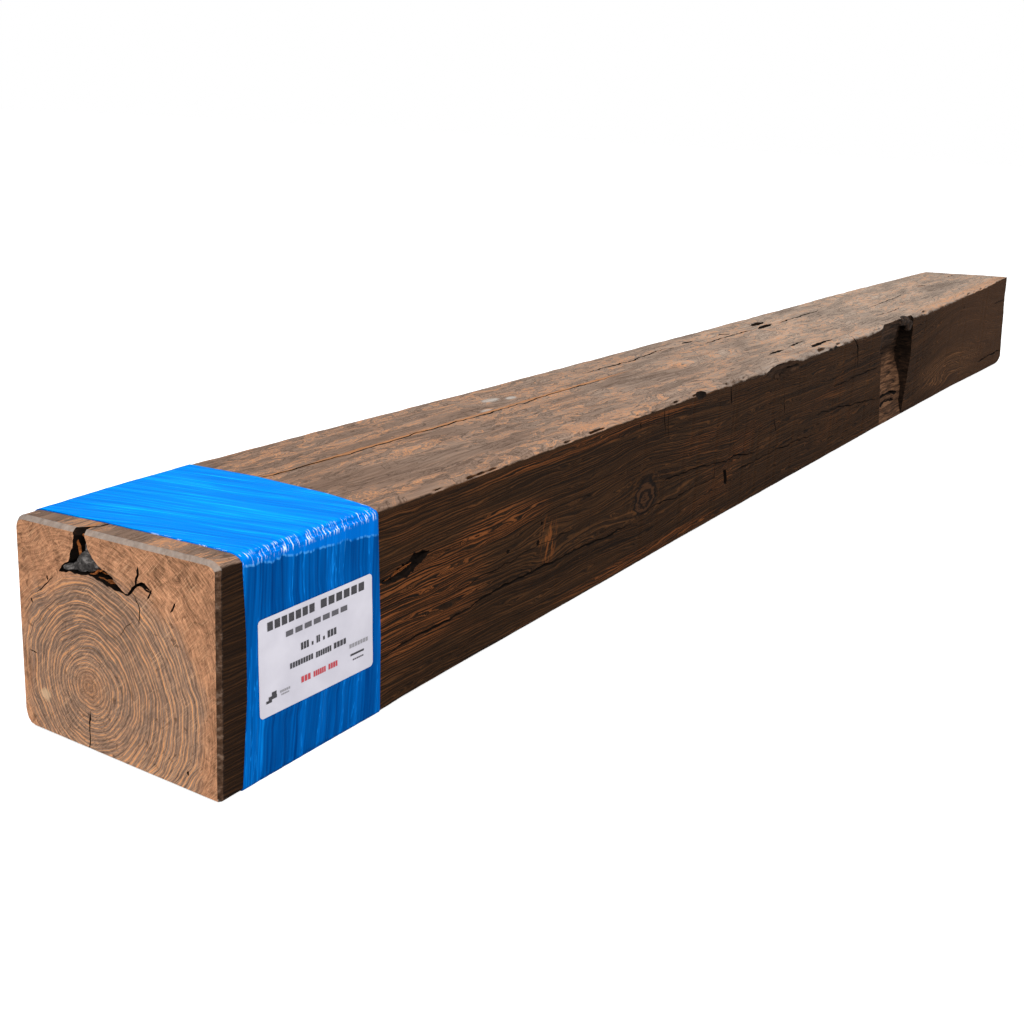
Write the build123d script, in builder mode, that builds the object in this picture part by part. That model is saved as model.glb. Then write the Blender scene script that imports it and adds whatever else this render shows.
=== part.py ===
from build123d import *
from build123d.topology import SkipClean
import math
import os

# Reclaimed cypress mantel beam, sold as ten by eight inches and ten feet long.
# Millimetres. X runs along the beam from the labelled near end to the far end,
# the long face with the label looks to -Y, and +Z is up.
# The origin is the middle of the underside of the whole object.

# Stock size
beam_length = 3048
beam_width = 254
width_taper = 24
front_hollow = 8
near_end_skew = 9
far_end_skew = 14
far_end_lean = 36

# Heights of the winding top above the underside, along the front face and along the back
front_top_near = 214
front_top_middle = 212
front_top_housing = 213
front_top_after = 217
front_top_halfway = 223
front_top_far = 234
back_top_near = 204
back_top_film = 211
back_top_quarter = 213
back_top_middle = 216
back_top_housing = 220
back_top_after = 222
back_top_far = 224
quarter_place = 700
middle_place = 1300
before_housing_place = 1860
after_housing_place = 2250

# Arrises and corners
top_back_round = 10
bottom_back_round = 6
bottom_front_round = 4
worn_corner_rise = 34
worn_corner_run = 96
worn_corner_turn = 24

# Worn edge along the top of the front face: how far it drops below the top
worn_edge_near = 8
worn_edge_middle = 12
worn_edge_housing = 7
worn_edge_after = 18
worn_edge_halfway = 8
worn_edge_far = 4
worn_edge_spread = 1.4

# Chip broken out of the worn edge
chip_place = 1302
chip_run = 92
chip_bottom = 177
chip_depth = 15

# Old joist housing cut across the front face: a deep scoop below a shallow shoulder
housing_start_top = 1873
housing_start_bottom = 1944
housing_end_top = 2105
housing_end_middle = 2122
housing_end_bottom = 2104
housing_depth_top = 27
housing_depth_middle = 38
housing_depth_low = 13
housing_depth_foot = 11
housing_depth_bottom = 2
housing_middle_height = 128
housing_low_height = 64
housing_foot_height = 32
shoulder_depth = 9
shoulder_near_height = 166
shoulder_far_height = 198
shoulder_bevel = 42

# Hollow rotted out of the near end, and the ring shake that runs from it
hollow_place = 166
hollow_depth = 165
hollow_mouth_width = 17
hollow_floor_drop = 44
hollow_left = 57
hollow_pith_side = 30
hollow_closing = 0.25
shake_depth = 38
shake_gap = 5
star_depth = 26

# Drying checks
check_depth = 24
check_gap = 3.2
top_check_depth = 20
top_check_gap = 3.4
torn_pocket_depth = 16
cross_crack_depth = 12
cross_crack_gap = 4
end_check_gap = 2
end_check_depth = 18

# Stretch film band and its label
film_start = 28
film_width = 192
film_thickness = 0.3
film_gap = 0.1
film_front_corner = 6
film_back_corner = 8
bare_margin = 2
label_width = 161
label_height = 98
label_thickness = 0.2
label_gap = 0.1
label_round = 5
label_along = 131.5
label_up = 103.5
label_droop = 2.7

near_x = -beam_length / 2
far_x = beam_length / 2
front_y = -beam_width / 2
back_y = beam_width / 2
bed_z = film_gap + film_thickness
film_end = film_start + film_width
bare_place = film_end + bare_margin
overcut = 20
skim = 1


def along(distance):
    """X of a place that is this far from the near end."""
    return near_x + distance


def front_at(distance):
    """Y of the hollowed front face at a distance from the near end."""
    share = distance / beam_length
    return front_y + front_hollow * 4 * share * (1 - share)


def back_at(distance):
    """Y of the straight back face, which leans in towards the far end."""
    return back_y - width_taper * distance / beam_length


# Stations along the top: distance from the near end, height at the front, height at the back, worn drop
halfway_place = (after_housing_place + beam_length) / 2
top_stations = [
    (0, front_top_near, back_top_near, worn_edge_near),
    (bare_place, front_top_middle, back_top_film, worn_edge_near),
    (quarter_place, front_top_middle, back_top_quarter, worn_edge_near),
    (middle_place, front_top_middle, back_top_middle, worn_edge_middle),
    (before_housing_place, front_top_housing, back_top_housing, worn_edge_housing),
    (after_housing_place, front_top_after, back_top_after, worn_edge_after),
    (halfway_place, front_top_halfway, back_top_far, worn_edge_halfway),
    (beam_length, front_top_far, back_top_far, worn_edge_far),
]


def between_stations(distance, column):
    """Value of a column of the stations at a distance, on a straight line from station to station."""
    for before, after in zip(top_stations, top_stations[1:]):
        if distance <= after[0]:
            break
    share = (distance - before[0]) / (after[0] - before[0])
    return before[column] + (after[column] - before[column]) * share


def top_at(distance, y):
    """Z of the winding top at a distance from the near end and a place across the beam."""
    low = between_stations(distance, 1)
    high = between_stations(distance, 2)
    share = (y - front_at(distance)) / (back_at(distance) - front_at(distance))
    return bed_z + low + (high - low) * share


def ribbon(path, gap):
    """Closed outline of a crack: widest in the middle of its path, closed to a point at both ends."""
    count = len(path) - 1
    upper = []
    lower = []
    for index in range(1, count):
        before = Vector(*path[index - 1])
        after = Vector(*path[index + 1])
        run = (after - before).normalized()
        half = gap / 2 * (0.45 + 0.55 * math.sin(math.pi * index / count))
        side = Vector(-run.Y, run.X) * half
        here = Vector(*path[index])
        upper.append(tuple(here + side)[:2])
        lower.append(tuple(here - side)[:2])
    return [path[0], *upper, path[-1], *reversed(lower)]


roof_z = bed_z + front_top_far + 2 * overcut
# How far the middle of a quarter arc stands in from its corner, as a share of the radius
arc_share = 1 - math.sqrt(0.5)


def roof_section(distance):
    """Section of the air over the timber: worn front arris, winding top and rounded back arris."""
    front = front_at(distance)
    back = back_at(distance)
    drop = between_stations(distance, 3)
    spread = drop * worn_edge_spread
    low = (front - skim, top_at(distance, front) - drop)
    crown = (front + spread * arc_share, top_at(distance, front) - drop * arc_share)
    high = (front + spread, top_at(distance, front + spread))
    back_z = top_at(distance, back)
    back_start = (back - top_back_round, top_at(distance, back - top_back_round))
    back_middle = (back - top_back_round * arc_share, back_z - top_back_round * arc_share)
    back_end = (back + skim, back_z - top_back_round - skim)
    plane = Plane(origin=(along(distance), 0, 0), x_dir=(0, 1, 0), z_dir=(1, 0, 0))
    with BuildSketch(plane) as section:
        with BuildLine():
            ThreePointArc(low, crown, high)
            Line(high, back_start)
            ThreePointArc(back_start, back_middle, back_end)
            Polyline(
                back_end,
                (back + overcut, back_end[1]),
                (back + overcut, roof_z),
                (front - overcut, roof_z),
                (front - overcut, low[1]),
                low,
            )
        make_face()
    return section.sketch


# Air over the timber: straight under the film, then smooth from station to station
with BuildPart() as near_roof:
    loft(sections=[roof_section(-overcut), roof_section(bare_place)], ruled=True)
with BuildPart() as far_roof:
    far_places = [station[0] for station in top_stations[1:-1]] + [beam_length + overcut]
    loft(sections=[roof_section(distance) for distance in far_places])

# Outline of the chip on the front face, and where it runs out deeper in:
# shares of its run along the beam and of its rise up to the top
chip_outline = [(-0.7, 0.65), (-0.4, 0.35), (0, 0), (0.35, 0.08), (1, 0.3), (1.3, 0.65)]
chip_end_outline = [(-0.4, 0.85), (-0.2, 0.74), (0, 0.66), (0.2, 0.66), (0.5, 0.74), (0.8, 0.85)]


def chip_section(outline, y):
    """Outline of the chip in a plane along the front face, open to the air over the timber."""
    rise = front_top_middle - chip_bottom
    points = [
        (along(chip_place + chip_run * run_share), bed_z + chip_bottom + rise * rise_share)
        for run_share, rise_share in outline
    ]
    air_z = bed_z + front_top_middle + overcut
    with BuildSketch(Plane.XZ.offset(-y)) as section:
        with BuildLine():
            Polyline((points[0][0], air_z), *points, (points[-1][0], air_z), close=True)
        make_face()
    return section.sketch


# Chip in the worn edge: a broken outline on the front face that narrows as it runs in
chip_y = front_at(chip_place)
with BuildPart() as arris_chip:
    loft(
        sections=[
            chip_section(chip_outline, chip_y - skim),
            chip_section(chip_end_outline, chip_y + chip_depth),
        ],
        ruled=True,
    )

# Corner knocked off the far end of the bottom front arris, fading out towards the back
with BuildPart() as worn_corner:
    turn = math.radians(worn_corner_turn)
    cut_x = far_x - far_end_skew - overcut * math.tan(turn)
    with BuildSketch(Plane.XZ.offset(-front_y + overcut)):
        with BuildLine():
            Spline(
                (cut_x - worn_corner_run, bed_z - skim),
                (cut_x - worn_corner_run * 0.3, bed_z + worn_corner_rise * 0.22),
                (cut_x, bed_z + worn_corner_rise),
            )
            Polyline(
                (cut_x, bed_z + worn_corner_rise),
                (cut_x + worn_corner_run, bed_z + worn_corner_rise * 4),
                (cut_x + worn_corner_run, bed_z - overcut),
                (cut_x - worn_corner_run, bed_z - overcut),
                (cut_x - worn_corner_run, bed_z - skim),
            )
        make_face()
    extrude(amount=beam_width, dir=(math.sin(turn), math.cos(turn), 0))


def beyond(start, end, distance):
    """Point on the line from start through end, this far past end."""
    length = math.dist(start, end)
    share = (length + distance) / length
    return (start[0] + (end[0] - start[0]) * share, start[1] + (end[1] - start[1]) * share)


def part_way(start, end, height):
    """Point on the line from start to end at this height."""
    share = (height - start[1]) / (end[1] - start[1])
    return (start[0] + (end[0] - start[0]) * share, height)


# Joist housing: its outline on the front face, kept to the floor, which is hewn in flat strokes
housing_y = front_at((housing_start_top + housing_end_top) / 2)
housing_top = top_at(housing_end_top, housing_y)
start_high = (along(housing_start_top), housing_top)
start_low = (along(housing_start_bottom), bed_z)
end_high = (along(housing_end_top), housing_top)
end_middle = (along(housing_end_middle), bed_z + housing_middle_height)
end_low = (along(housing_end_bottom), bed_z)
with BuildPart() as housing:
    with BuildSketch(Plane.XZ.offset(-front_y + overcut)):
        with BuildLine():
            Polyline(
                part_way(start_low, start_high, bed_z + shoulder_near_height),
                beyond(start_high, start_low, overcut),
                beyond(end_middle, end_low, overcut),
                end_middle,
                part_way(end_middle, end_high, bed_z + shoulder_far_height),
                close=True,
            )
        make_face()
    extrude(amount=-(housing_depth_middle + 2 * overcut))
    floor_high = (housing_y + housing_depth_top, housing_top + overcut)
    floor_middle = (housing_y + housing_depth_middle, bed_z + housing_middle_height)
    floor_low = (housing_y + housing_depth_low, bed_z + housing_low_height)
    floor_foot = (housing_y + housing_depth_foot, bed_z + housing_foot_height)
    floor_bottom = (housing_y + housing_depth_bottom, bed_z)
    with BuildSketch(Plane.YZ.offset(along(housing_start_top - overcut))):
        with BuildLine():
            Polyline(
                floor_high,
                floor_middle,
                floor_low,
                floor_foot,
                floor_bottom,
                (floor_bottom[0], bed_z - overcut),
                (housing_y - overcut, bed_z - overcut),
                (housing_y - overcut, floor_high[1]),
                close=True,
            )
        make_face()
    extrude(amount=housing_end_middle - housing_start_top + 2 * overcut, mode=Mode.INTERSECT)

# Shoulder over the housing: hewn back a little, with a bevel at its near side
with BuildPart() as shoulder:
    with BuildSketch(Plane.XY.offset(bed_z + shoulder_near_height - overcut)):
        with BuildLine():
            Polyline(
                (along(housing_start_top) - shoulder_bevel, housing_y - shoulder_depth),
                (along(housing_start_top) + shoulder_bevel, housing_y + shoulder_depth),
                (along(housing_end_top), housing_y + shoulder_depth),
                (along(housing_end_top), housing_y - shoulder_depth),
                close=True,
            )
        make_face()
    extrude(amount=roof_z - shoulder_near_height)

# Hollow in the near end: opens through the top arris and narrows as it runs in behind the film
hollow_y = front_y + hollow_place
hollow_top = top_at(0, hollow_y)
hollow_outline = [
    (hollow_y + hollow_mouth_width / 2, hollow_top + overcut),
    (hollow_y + hollow_mouth_width / 2, hollow_top - 5),
    (hollow_y + 11, hollow_top - 19),
    (hollow_y + 15, hollow_top - 32),
    (hollow_y + hollow_pith_side, hollow_top - 43),
    (hollow_y + 10, hollow_top - 42),
    (hollow_y - 12, hollow_top - 39),
    (hollow_y - 35, hollow_top - hollow_floor_drop),
    (hollow_y - hollow_left, hollow_top - hollow_floor_drop - 3),
    (hollow_y - 43, hollow_top - 37),
    (hollow_y - 26, hollow_top - 29),
    (hollow_y - 13, hollow_top - 17),
    (hollow_y - hollow_mouth_width / 2, hollow_top - 9),
    (hollow_y - hollow_mouth_width / 2, hollow_top + overcut),
]
hollow_inner_outline = [(hollow_y + (y - hollow_y) * hollow_closing, z) for y, z in hollow_outline]
with BuildPart() as end_hollow:
    with BuildSketch(Plane.YZ.offset(near_x - overcut)):
        with BuildLine():
            Polyline(*hollow_outline, close=True)
        make_face()
    with BuildSketch(Plane.YZ.offset(near_x + hollow_depth)):
        with BuildLine():
            Polyline(*hollow_inner_outline, close=True)
        make_face()
    loft(ruled=True)

# Ring shake that leaves the hollow, with the star shaped split at its far end
shake_path = [
    (hollow_y - hollow_left + 5, hollow_top - hollow_floor_drop - 2),
    (hollow_y - 63, hollow_top - 42),
    (hollow_y - 69, hollow_top - 36),
    (hollow_y - 75, hollow_top - 33),
    (hollow_y - 81, hollow_top - 34),
    (hollow_y - 89, hollow_top - 37),
]
star_path = [
    (hollow_y - 68, hollow_top - 38),
    (hollow_y - 71, hollow_top - 27),
    (hollow_y - 71, hollow_top - 17),
]
with BuildPart() as ring_shake:
    with BuildSketch(Plane.YZ.offset(near_x - overcut)):
        with BuildLine():
            Polyline(*ribbon(shake_path, shake_gap), close=True)
        make_face()
    extrude(amount=shake_depth + overcut)
    with BuildSketch(Plane.YZ.offset(near_x - overcut)):
        with BuildLine():
            Polyline(*ribbon(star_path, shake_gap), close=True)
        make_face()
    extrude(amount=star_depth + overcut)

# Radial check that climbs from the underside towards the pith of the near end
end_check_path = [
    (hollow_y - 3, bed_z - 4),
    (hollow_y - 3, bed_z + 20),
    (hollow_y - 5, bed_z + 38),
]

# Checks in the front face: distance from the near end and height above the underside
front_checks = [
    [(205, 52), (290, 54), (440, 57), (620, 60), (740, 70), (806, 84)],
    [(852, 100), (930, 108), (1010, 106), (1060, 112), (1090, 108)],
    [(985, 92), (1075, 100), (1230, 112), (1420, 108), (1560, 112)],
    [(1500, 146), (1640, 156), (1760, 164), (1860, 170)],
    [(1640, 86), (1790, 76), (1900, 68)],
    [(2780, 30), (2860, 31), (2960, 35), (3070, 37)],
]
cross_cracks = [
    [(1731, 150), (1721, 168), (1717, 182), (1708, 216)],
    [(1062, 62), (1060, 84), (1064, 104)],
    [(1128, 150), (1124, 172), (1128, 206)],
]
torn_pocket = [(214, 130), (250, 146), (284, 158), (322, 158), (292, 145), (262, 134), (236, 128)]

# Checks in the top: distance from the near end and distance from the front face
top_checks = [
    [(60, 168), (228, 158), (400, 151), (540, 150), (700, 149), (862, 143)],
    [(900, 186), (1077, 184), (1188, 189), (1278, 188), (1352, 187)],
    [(1340, 163), (1403, 172), (1462, 169), (1538, 164), (1607, 167)],
    [(1700, 166), (1774, 160), (1854, 159), (1942, 162)],
    [(1366, 53), (1449, 53), (1510, 57), (1566, 60)],
    [(2100, 108), (2240, 112), (2420, 118)],
]
top_pockets = [
    [(1611, 168), (1640, 172), (1672, 166), (1668, 158), (1630, 157)],
    [(1634, 196), (1656, 194), (1674, 186), (1668, 179), (1640, 185)],
    [(1515, 37), (1566, 37), (1622, 33), (1600, 27), (1550, 28)],
]


def front_outline(path):
    """Path on the front face in the model's X and Z."""
    return [(along(distance), bed_z + height) for distance, height in path]


def top_outline(path):
    """Path on the top in the model's X and Y."""
    return [(along(distance), front_y + depth) for distance, depth in path]


with BuildPart() as timber:
    # Plan of the stock: a straight back that leans in, a front hollowed by wear, a near end out of square
    with BuildSketch(Plane.XY.offset(bed_z)):
        with BuildLine():
            Bezier((near_x, front_y), (0, front_y + 2 * front_hollow), (far_x, front_y))
            Polyline(
                (far_x, front_y),
                (far_x, back_at(beam_length)),
                (near_x + near_end_skew, back_at(near_end_skew)),
                (near_x, front_y),
            )
        make_face()
    extrude(amount=roof_z - bed_z - overcut)
    long_edges = timber.edges().filter_by(lambda edge: edge.length > beam_length / 2)
    lower_edges = long_edges.sort_by(Axis.Z)[:2]
    fillet(lower_edges.sort_by(Axis.Y)[-1], radius=bottom_back_round)
    fillet(lower_edges.sort_by(Axis.Y)[0], radius=bottom_front_round)
    add(near_roof.part, mode=Mode.SUBTRACT)
    add(far_roof.part, mode=Mode.SUBTRACT)
    # The far end is sawn neither square to the back nor upright
    far_back = back_at(beam_length)
    skew = far_end_skew / (far_back - front_y)
    lean = far_end_lean / front_top_far
    far_end = Plane(origin=(far_x, far_back, bed_z), z_dir=(1, -skew, lean))
    split(bisect_by=far_end, keep=Keep.BOTTOM)
    add(arris_chip.part, mode=Mode.SUBTRACT)
    add(worn_corner.part, mode=Mode.SUBTRACT)
    add(housing.part, mode=Mode.SUBTRACT)
    add(shoulder.part, mode=Mode.SUBTRACT)
    add(end_hollow.part, mode=Mode.SUBTRACT)
    add(ring_shake.part, mode=Mode.SUBTRACT)
    with BuildSketch(Plane.YZ.offset(near_x - overcut)):
        with BuildLine():
            Polyline(*ribbon(end_check_path, end_check_gap), close=True)
        make_face()
    extrude(amount=end_check_depth + overcut, mode=Mode.SUBTRACT)
    # Checks, cracks and the torn pocket in the front face
    front_cuts = [(ribbon(front_outline(path), check_gap), check_depth) for path in front_checks]
    for path in cross_cracks:
        front_cuts.append((ribbon(front_outline(path), cross_crack_gap), cross_crack_depth))
    front_cuts.append((front_outline(torn_pocket), torn_pocket_depth))
    for outline, depth in front_cuts:
        with BuildSketch(Plane.XZ.offset(-front_y + overcut)):
            with BuildLine():
                Polyline(*outline, close=True)
            make_face()
        extrude(amount=-(overcut + depth), mode=Mode.SUBTRACT)
    # Checks and pockets in the top
    top_cuts = [ribbon(top_outline(path), top_check_gap) for path in top_checks]
    top_cuts += [top_outline(path) for path in top_pockets]
    for outline in top_cuts:
        start_x, start_y = outline[0]
        cut_z = top_at(start_x - near_x, start_y) - top_check_depth
        with BuildSketch(Plane.XY.offset(roof_z)):
            with BuildLine():
                Polyline(*outline, close=True)
            make_face()
        extrude(amount=cut_z - roof_z, mode=Mode.SUBTRACT)

# The back and the underside past the film are faces of their own, so that each can be seated on
bare_start = Plane.YZ.offset(along(bare_place))
with SkipClean(), BuildPart() as beam:
    add(timber.part.split(bare_start, keep=Keep.TOP))
    add(timber.part.split(bare_start, keep=Keep.BOTTOM), clean=False)
beam.part.label = "beam"


def film_section(distance, grow):
    """Rounded section of the beam at a distance from the near end, grown by a clearance."""
    low_y = front_at(distance) - grow
    high_y = back_at(distance) + grow
    low_z = bed_z - grow
    plane = Plane(origin=(along(distance), 0, 0), x_dir=(0, 1, 0), z_dir=(1, 0, 0))
    rounds = (bottom_front_round, bottom_back_round, film_back_corner, film_front_corner)
    with BuildSketch(plane) as section:
        with BuildLine():
            FilletPolyline(
                (low_y, low_z),
                (high_y, low_z),
                (high_y, top_at(distance, high_y) + grow),
                (low_y, top_at(distance, low_y) + grow),
                radius=[corner + grow for corner in rounds],
                close=True,
            )
        make_face()
    return section.sketch


# Stretch film: a thin closed band pulled tight round all four faces
with BuildPart() as stretch_wrap:
    film_outside = film_gap + film_thickness
    loft(sections=[film_section(film_start, film_outside), film_section(film_end, film_outside)])
    loft(
        sections=[film_section(film_start, film_gap), film_section(film_end, film_gap)],
        mode=Mode.SUBTRACT,
    )
stretch_wrap.part.label = "stretch_wrap"

# Label: a thin card with rounded corners that lies on the front of the film
film_slope = (front_at(film_end) - front_at(film_start)) / film_width
label_y = front_at(film_start) + film_slope * (label_along - film_start) - film_outside - label_gap
label_plane = Plane(
    origin=(along(label_along), label_y, bed_z + label_up),
    x_dir=(1, film_slope, 0),
    z_dir=(film_slope, -1, 0),
)
with BuildPart() as label_card:
    with BuildSketch(label_plane):
        RectangleRounded(label_width, label_height, label_round, rotation=-label_droop)
    extrude(amount=label_thickness)
label_card.part.label = "label_card"

os.makedirs("parts", exist_ok=True)
export_step(beam.part, "parts/beam.step")
export_step(stretch_wrap.part, "parts/stretch_wrap.step")
export_step(label_card.part, "parts/label_card.step")
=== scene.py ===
import math
from contextlib import contextmanager

import bmesh
import bpy
import numpy as np
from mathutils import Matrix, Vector


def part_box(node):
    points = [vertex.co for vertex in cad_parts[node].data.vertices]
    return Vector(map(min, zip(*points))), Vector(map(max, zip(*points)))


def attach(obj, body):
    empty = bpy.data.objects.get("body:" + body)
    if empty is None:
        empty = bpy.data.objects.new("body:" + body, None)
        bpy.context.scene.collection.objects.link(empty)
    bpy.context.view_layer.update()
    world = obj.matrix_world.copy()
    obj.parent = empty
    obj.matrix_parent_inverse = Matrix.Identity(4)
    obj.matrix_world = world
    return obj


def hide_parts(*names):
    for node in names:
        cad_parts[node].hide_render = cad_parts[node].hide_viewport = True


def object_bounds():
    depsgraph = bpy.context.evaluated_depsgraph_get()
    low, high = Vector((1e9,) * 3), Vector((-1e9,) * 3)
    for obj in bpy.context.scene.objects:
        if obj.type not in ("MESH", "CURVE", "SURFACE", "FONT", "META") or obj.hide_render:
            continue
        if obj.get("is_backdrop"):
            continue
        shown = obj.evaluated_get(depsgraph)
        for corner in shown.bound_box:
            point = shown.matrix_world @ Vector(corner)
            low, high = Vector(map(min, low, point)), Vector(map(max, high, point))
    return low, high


# The looks of a reclaimed cypress mantel beam with its stretch film and plain label.
# Metres. X runs from the wrapped near end to the far end, the label looks to -Y, +Z is up.
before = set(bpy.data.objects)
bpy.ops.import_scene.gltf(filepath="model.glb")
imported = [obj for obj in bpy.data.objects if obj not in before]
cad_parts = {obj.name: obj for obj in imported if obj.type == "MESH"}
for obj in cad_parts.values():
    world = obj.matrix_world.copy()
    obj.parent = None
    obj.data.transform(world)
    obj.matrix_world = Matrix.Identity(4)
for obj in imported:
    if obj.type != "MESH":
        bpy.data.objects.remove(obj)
cad_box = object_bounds()

MM = 0.001
beam_low, beam_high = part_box("beam")
near_x = beam_low[0]
far_x = beam_high[0]
front_y = beam_low[1]
back_y = beam_high[1]
bed_z = beam_low[2]
beam_length = far_x - near_x
beam_width = back_y - front_y

# Form of the timber: places are distances from the near end
PROFILE_PLACES = (0.0, 0.09, 0.22, 0.7, 1.3, 1.7, 1.9, 2.3, 2.6, 3.048)
TOP_AT_FRONT = (0.2140, 0.2132, 0.2120, 0.2120, 0.2120, 0.2125, 0.2132, 0.2178, 0.2235, 0.2340)
TOP_AT_BACK = (0.2040, 0.2080, 0.2110, 0.2130, 0.2160, 0.2187, 0.2202, 0.2230, 0.2236, 0.2238)
ARRIS_PLACES = (
    0.0, 0.05, 0.21, 0.67, 0.80, 0.98, 1.0, 1.04, 1.10, 1.149, 1.218, 1.262, 1.33, 1.419, 1.531,
    1.70, 1.751, 1.79, 1.822, 1.877, 2.11, 2.18, 2.223, 2.278, 2.349, 2.461, 2.62, 2.748, 2.875,
    2.98, 3.048,
)
ARRIS_HEIGHTS = (
    0.2060, 0.2062, 0.2045, 0.2050, 0.2050, 0.2050, 0.2020, 0.2040, 0.1990, 0.2000, 0.1970, 0.1920,
    0.1930, 0.1965, 0.1980, 0.1990, 0.1930, 0.1980, 0.2000, 0.2060, 0.2040, 0.2000, 0.1980, 0.2000,
    0.2040, 0.2080, 0.2150, 0.2190, 0.2250, 0.2300, 0.2320,
)
front_hollow = 0.008
width_taper = 0.024
near_end_skew = 0.009
far_end_skew = 0.014
far_end_lean = 0.036
far_end_height = 0.234
foot_flare = 0.005
skew_fade = 0.3
top_back_round = 0.013
bottom_back_round = 0.016
bottom_front_round = 0.004
worn_corner_rise = 0.032
worn_corner_run = 0.088
worn_corner_turn = math.radians(24)
pith_y = 0.033
pith_z = 0.061
film_start = 0.028
film_end = 0.220

WOOD, INSIDE, HEWN = 0, 1, 2
WOOD_SPECULAR = 0.06
FILM_SPECULAR = 0.004


def smooth(low, high, value):
    """Smooth step from 0 at low to 1 at high."""
    share = np.clip((value - low) / (high - low), 0.0, 1.0)
    return share * share * (3 - 2 * share)


def curve(value, places, heights):
    """Smooth curve through a list of places and heights."""
    places = np.asarray(places, float)
    heights = np.asarray(heights, float)
    slopes = np.gradient(heights, places)
    value = np.clip(value, places[0], places[-1])
    index = np.clip(np.searchsorted(places, value) - 1, 0, len(places) - 2)
    width = places[index + 1] - places[index]
    t = (value - places[index]) / width
    return (
        (2 * t**3 - 3 * t**2 + 1) * heights[index]
        + (t**3 - 2 * t**2 + t) * width * slopes[index]
        + (3 * t**2 - 2 * t**3) * heights[index + 1]
        + (t**3 - t**2) * width * slopes[index + 1]
    )


def hashed(cell_x, cell_y, cell_z, seed):
    """Repeatable number from 0 to 1 for each whole-number cell."""
    mixed = cell_x * 374761393 + cell_y * 668265263 + cell_z * 1440662683 + seed * 1274126177
    mixed = mixed & 0xFFFFFFFF
    mixed = ((mixed ^ (mixed >> 13)) * 1103515245) & 0xFFFFFFFF
    mixed = ((mixed ^ (mixed >> 15)) * 668265261) & 0xFFFFFFFF
    return (mixed ^ (mixed >> 16)) / 4294967295.0


def noise(points, cells, seed, octaves=1):
    """Smooth noise from 0 to 1; cells gives the cells per metre along X, Y and Z."""
    total = np.zeros(len(points))
    weight = 0.0
    for octave in range(octaves):
        place = points * np.asarray(cells, float) * 2**octave + 131.7
        cell = np.floor(place).astype(np.int64)
        part = place - cell
        part = part * part * (3 - 2 * part)
        value = np.zeros(len(points))
        for corner in range(8):
            step = ((corner >> 2) & 1, (corner >> 1) & 1, corner & 1)
            share = np.ones(len(points))
            for axis in range(3):
                share = share * (part[:, axis] if step[axis] else 1 - part[:, axis])
            value += share * hashed(
                cell[:, 0] + step[0], cell[:, 1] + step[1], cell[:, 2] + step[2], seed + octave
            )
        total += value * 0.5**octave
        weight += 0.5**octave
    return total / weight


def front_at(distance):
    """Y of the hollowed front face at a distance from the near end."""
    share = distance / beam_length
    return front_y + front_hollow * 4 * share * (1 - share)


def back_at(distance):
    """Y of the back face, which leans in towards the far end."""
    return back_y - width_taper * distance / beam_length


def top_at(distance, y):
    """Z of the slightly winding top."""
    low = curve(distance, PROFILE_PLACES, TOP_AT_FRONT)
    high = curve(distance, PROFILE_PLACES, TOP_AT_BACK)
    share = (y - front_at(distance)) / (back_at(distance) - front_at(distance))
    return bed_z + low + (high - low) * share


def arris_at(distance):
    """Z of the lower edge of the worn top front arris."""
    return bed_z + np.interp(distance, ARRIS_PLACES, ARRIS_HEIGHTS)


def placed(name, mesh, materials):
    """New object in the scene for a mesh."""
    piece = bpy.data.objects.new(name, mesh)
    bpy.context.collection.objects.link(piece)
    for material in materials:
        mesh.materials.append(material)
    return piece


def mesh_object(name, verts, faces, *materials):
    """New mesh object in the scene, from point and face lists."""
    mesh = bpy.data.meshes.new(name)
    mesh.from_pydata([tuple(p) for p in verts], [], [tuple(int(i) for i in f) for f in faces])
    return placed(name, mesh, materials)


@contextmanager
def editing(piece):
    """The mesh of a piece as a bmesh, which is written back to the piece afterwards."""
    shape = bmesh.new()
    shape.from_mesh(piece.data)
    yield shape
    shape.to_mesh(piece.data)
    shape.free()


def ring_faces(rows, count, turned=False, start=0):
    """Faces between rows of points that each close round; turned winds them the other way."""
    faces = []
    for row in range(rows):
        for column in range(count):
            a = start + row * count + column
            b = start + row * count + (column + 1) % count
            faces.append((a, a + count, b + count, b) if turned else (a, b, b + count, a + count))
    return faces


def bend_to_ends(distance, y, z):
    """X of a point of the skin: the end faces aren't quite square, and the far one leans back."""
    near = near_end_skew * (y - front_y) / beam_width * (1 - smooth(0.0, skew_fade, distance))
    rise = np.maximum(z - bed_z, 0) / far_end_height
    far = far_end_skew * (1 - (y - front_y) / (beam_width - width_taper)) * np.minimum(rise * 1.3, 1)
    far = far + far_end_lean * rise
    return near_x + distance + near - far * smooth(beam_length - skew_fade, beam_length, distance)


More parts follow.
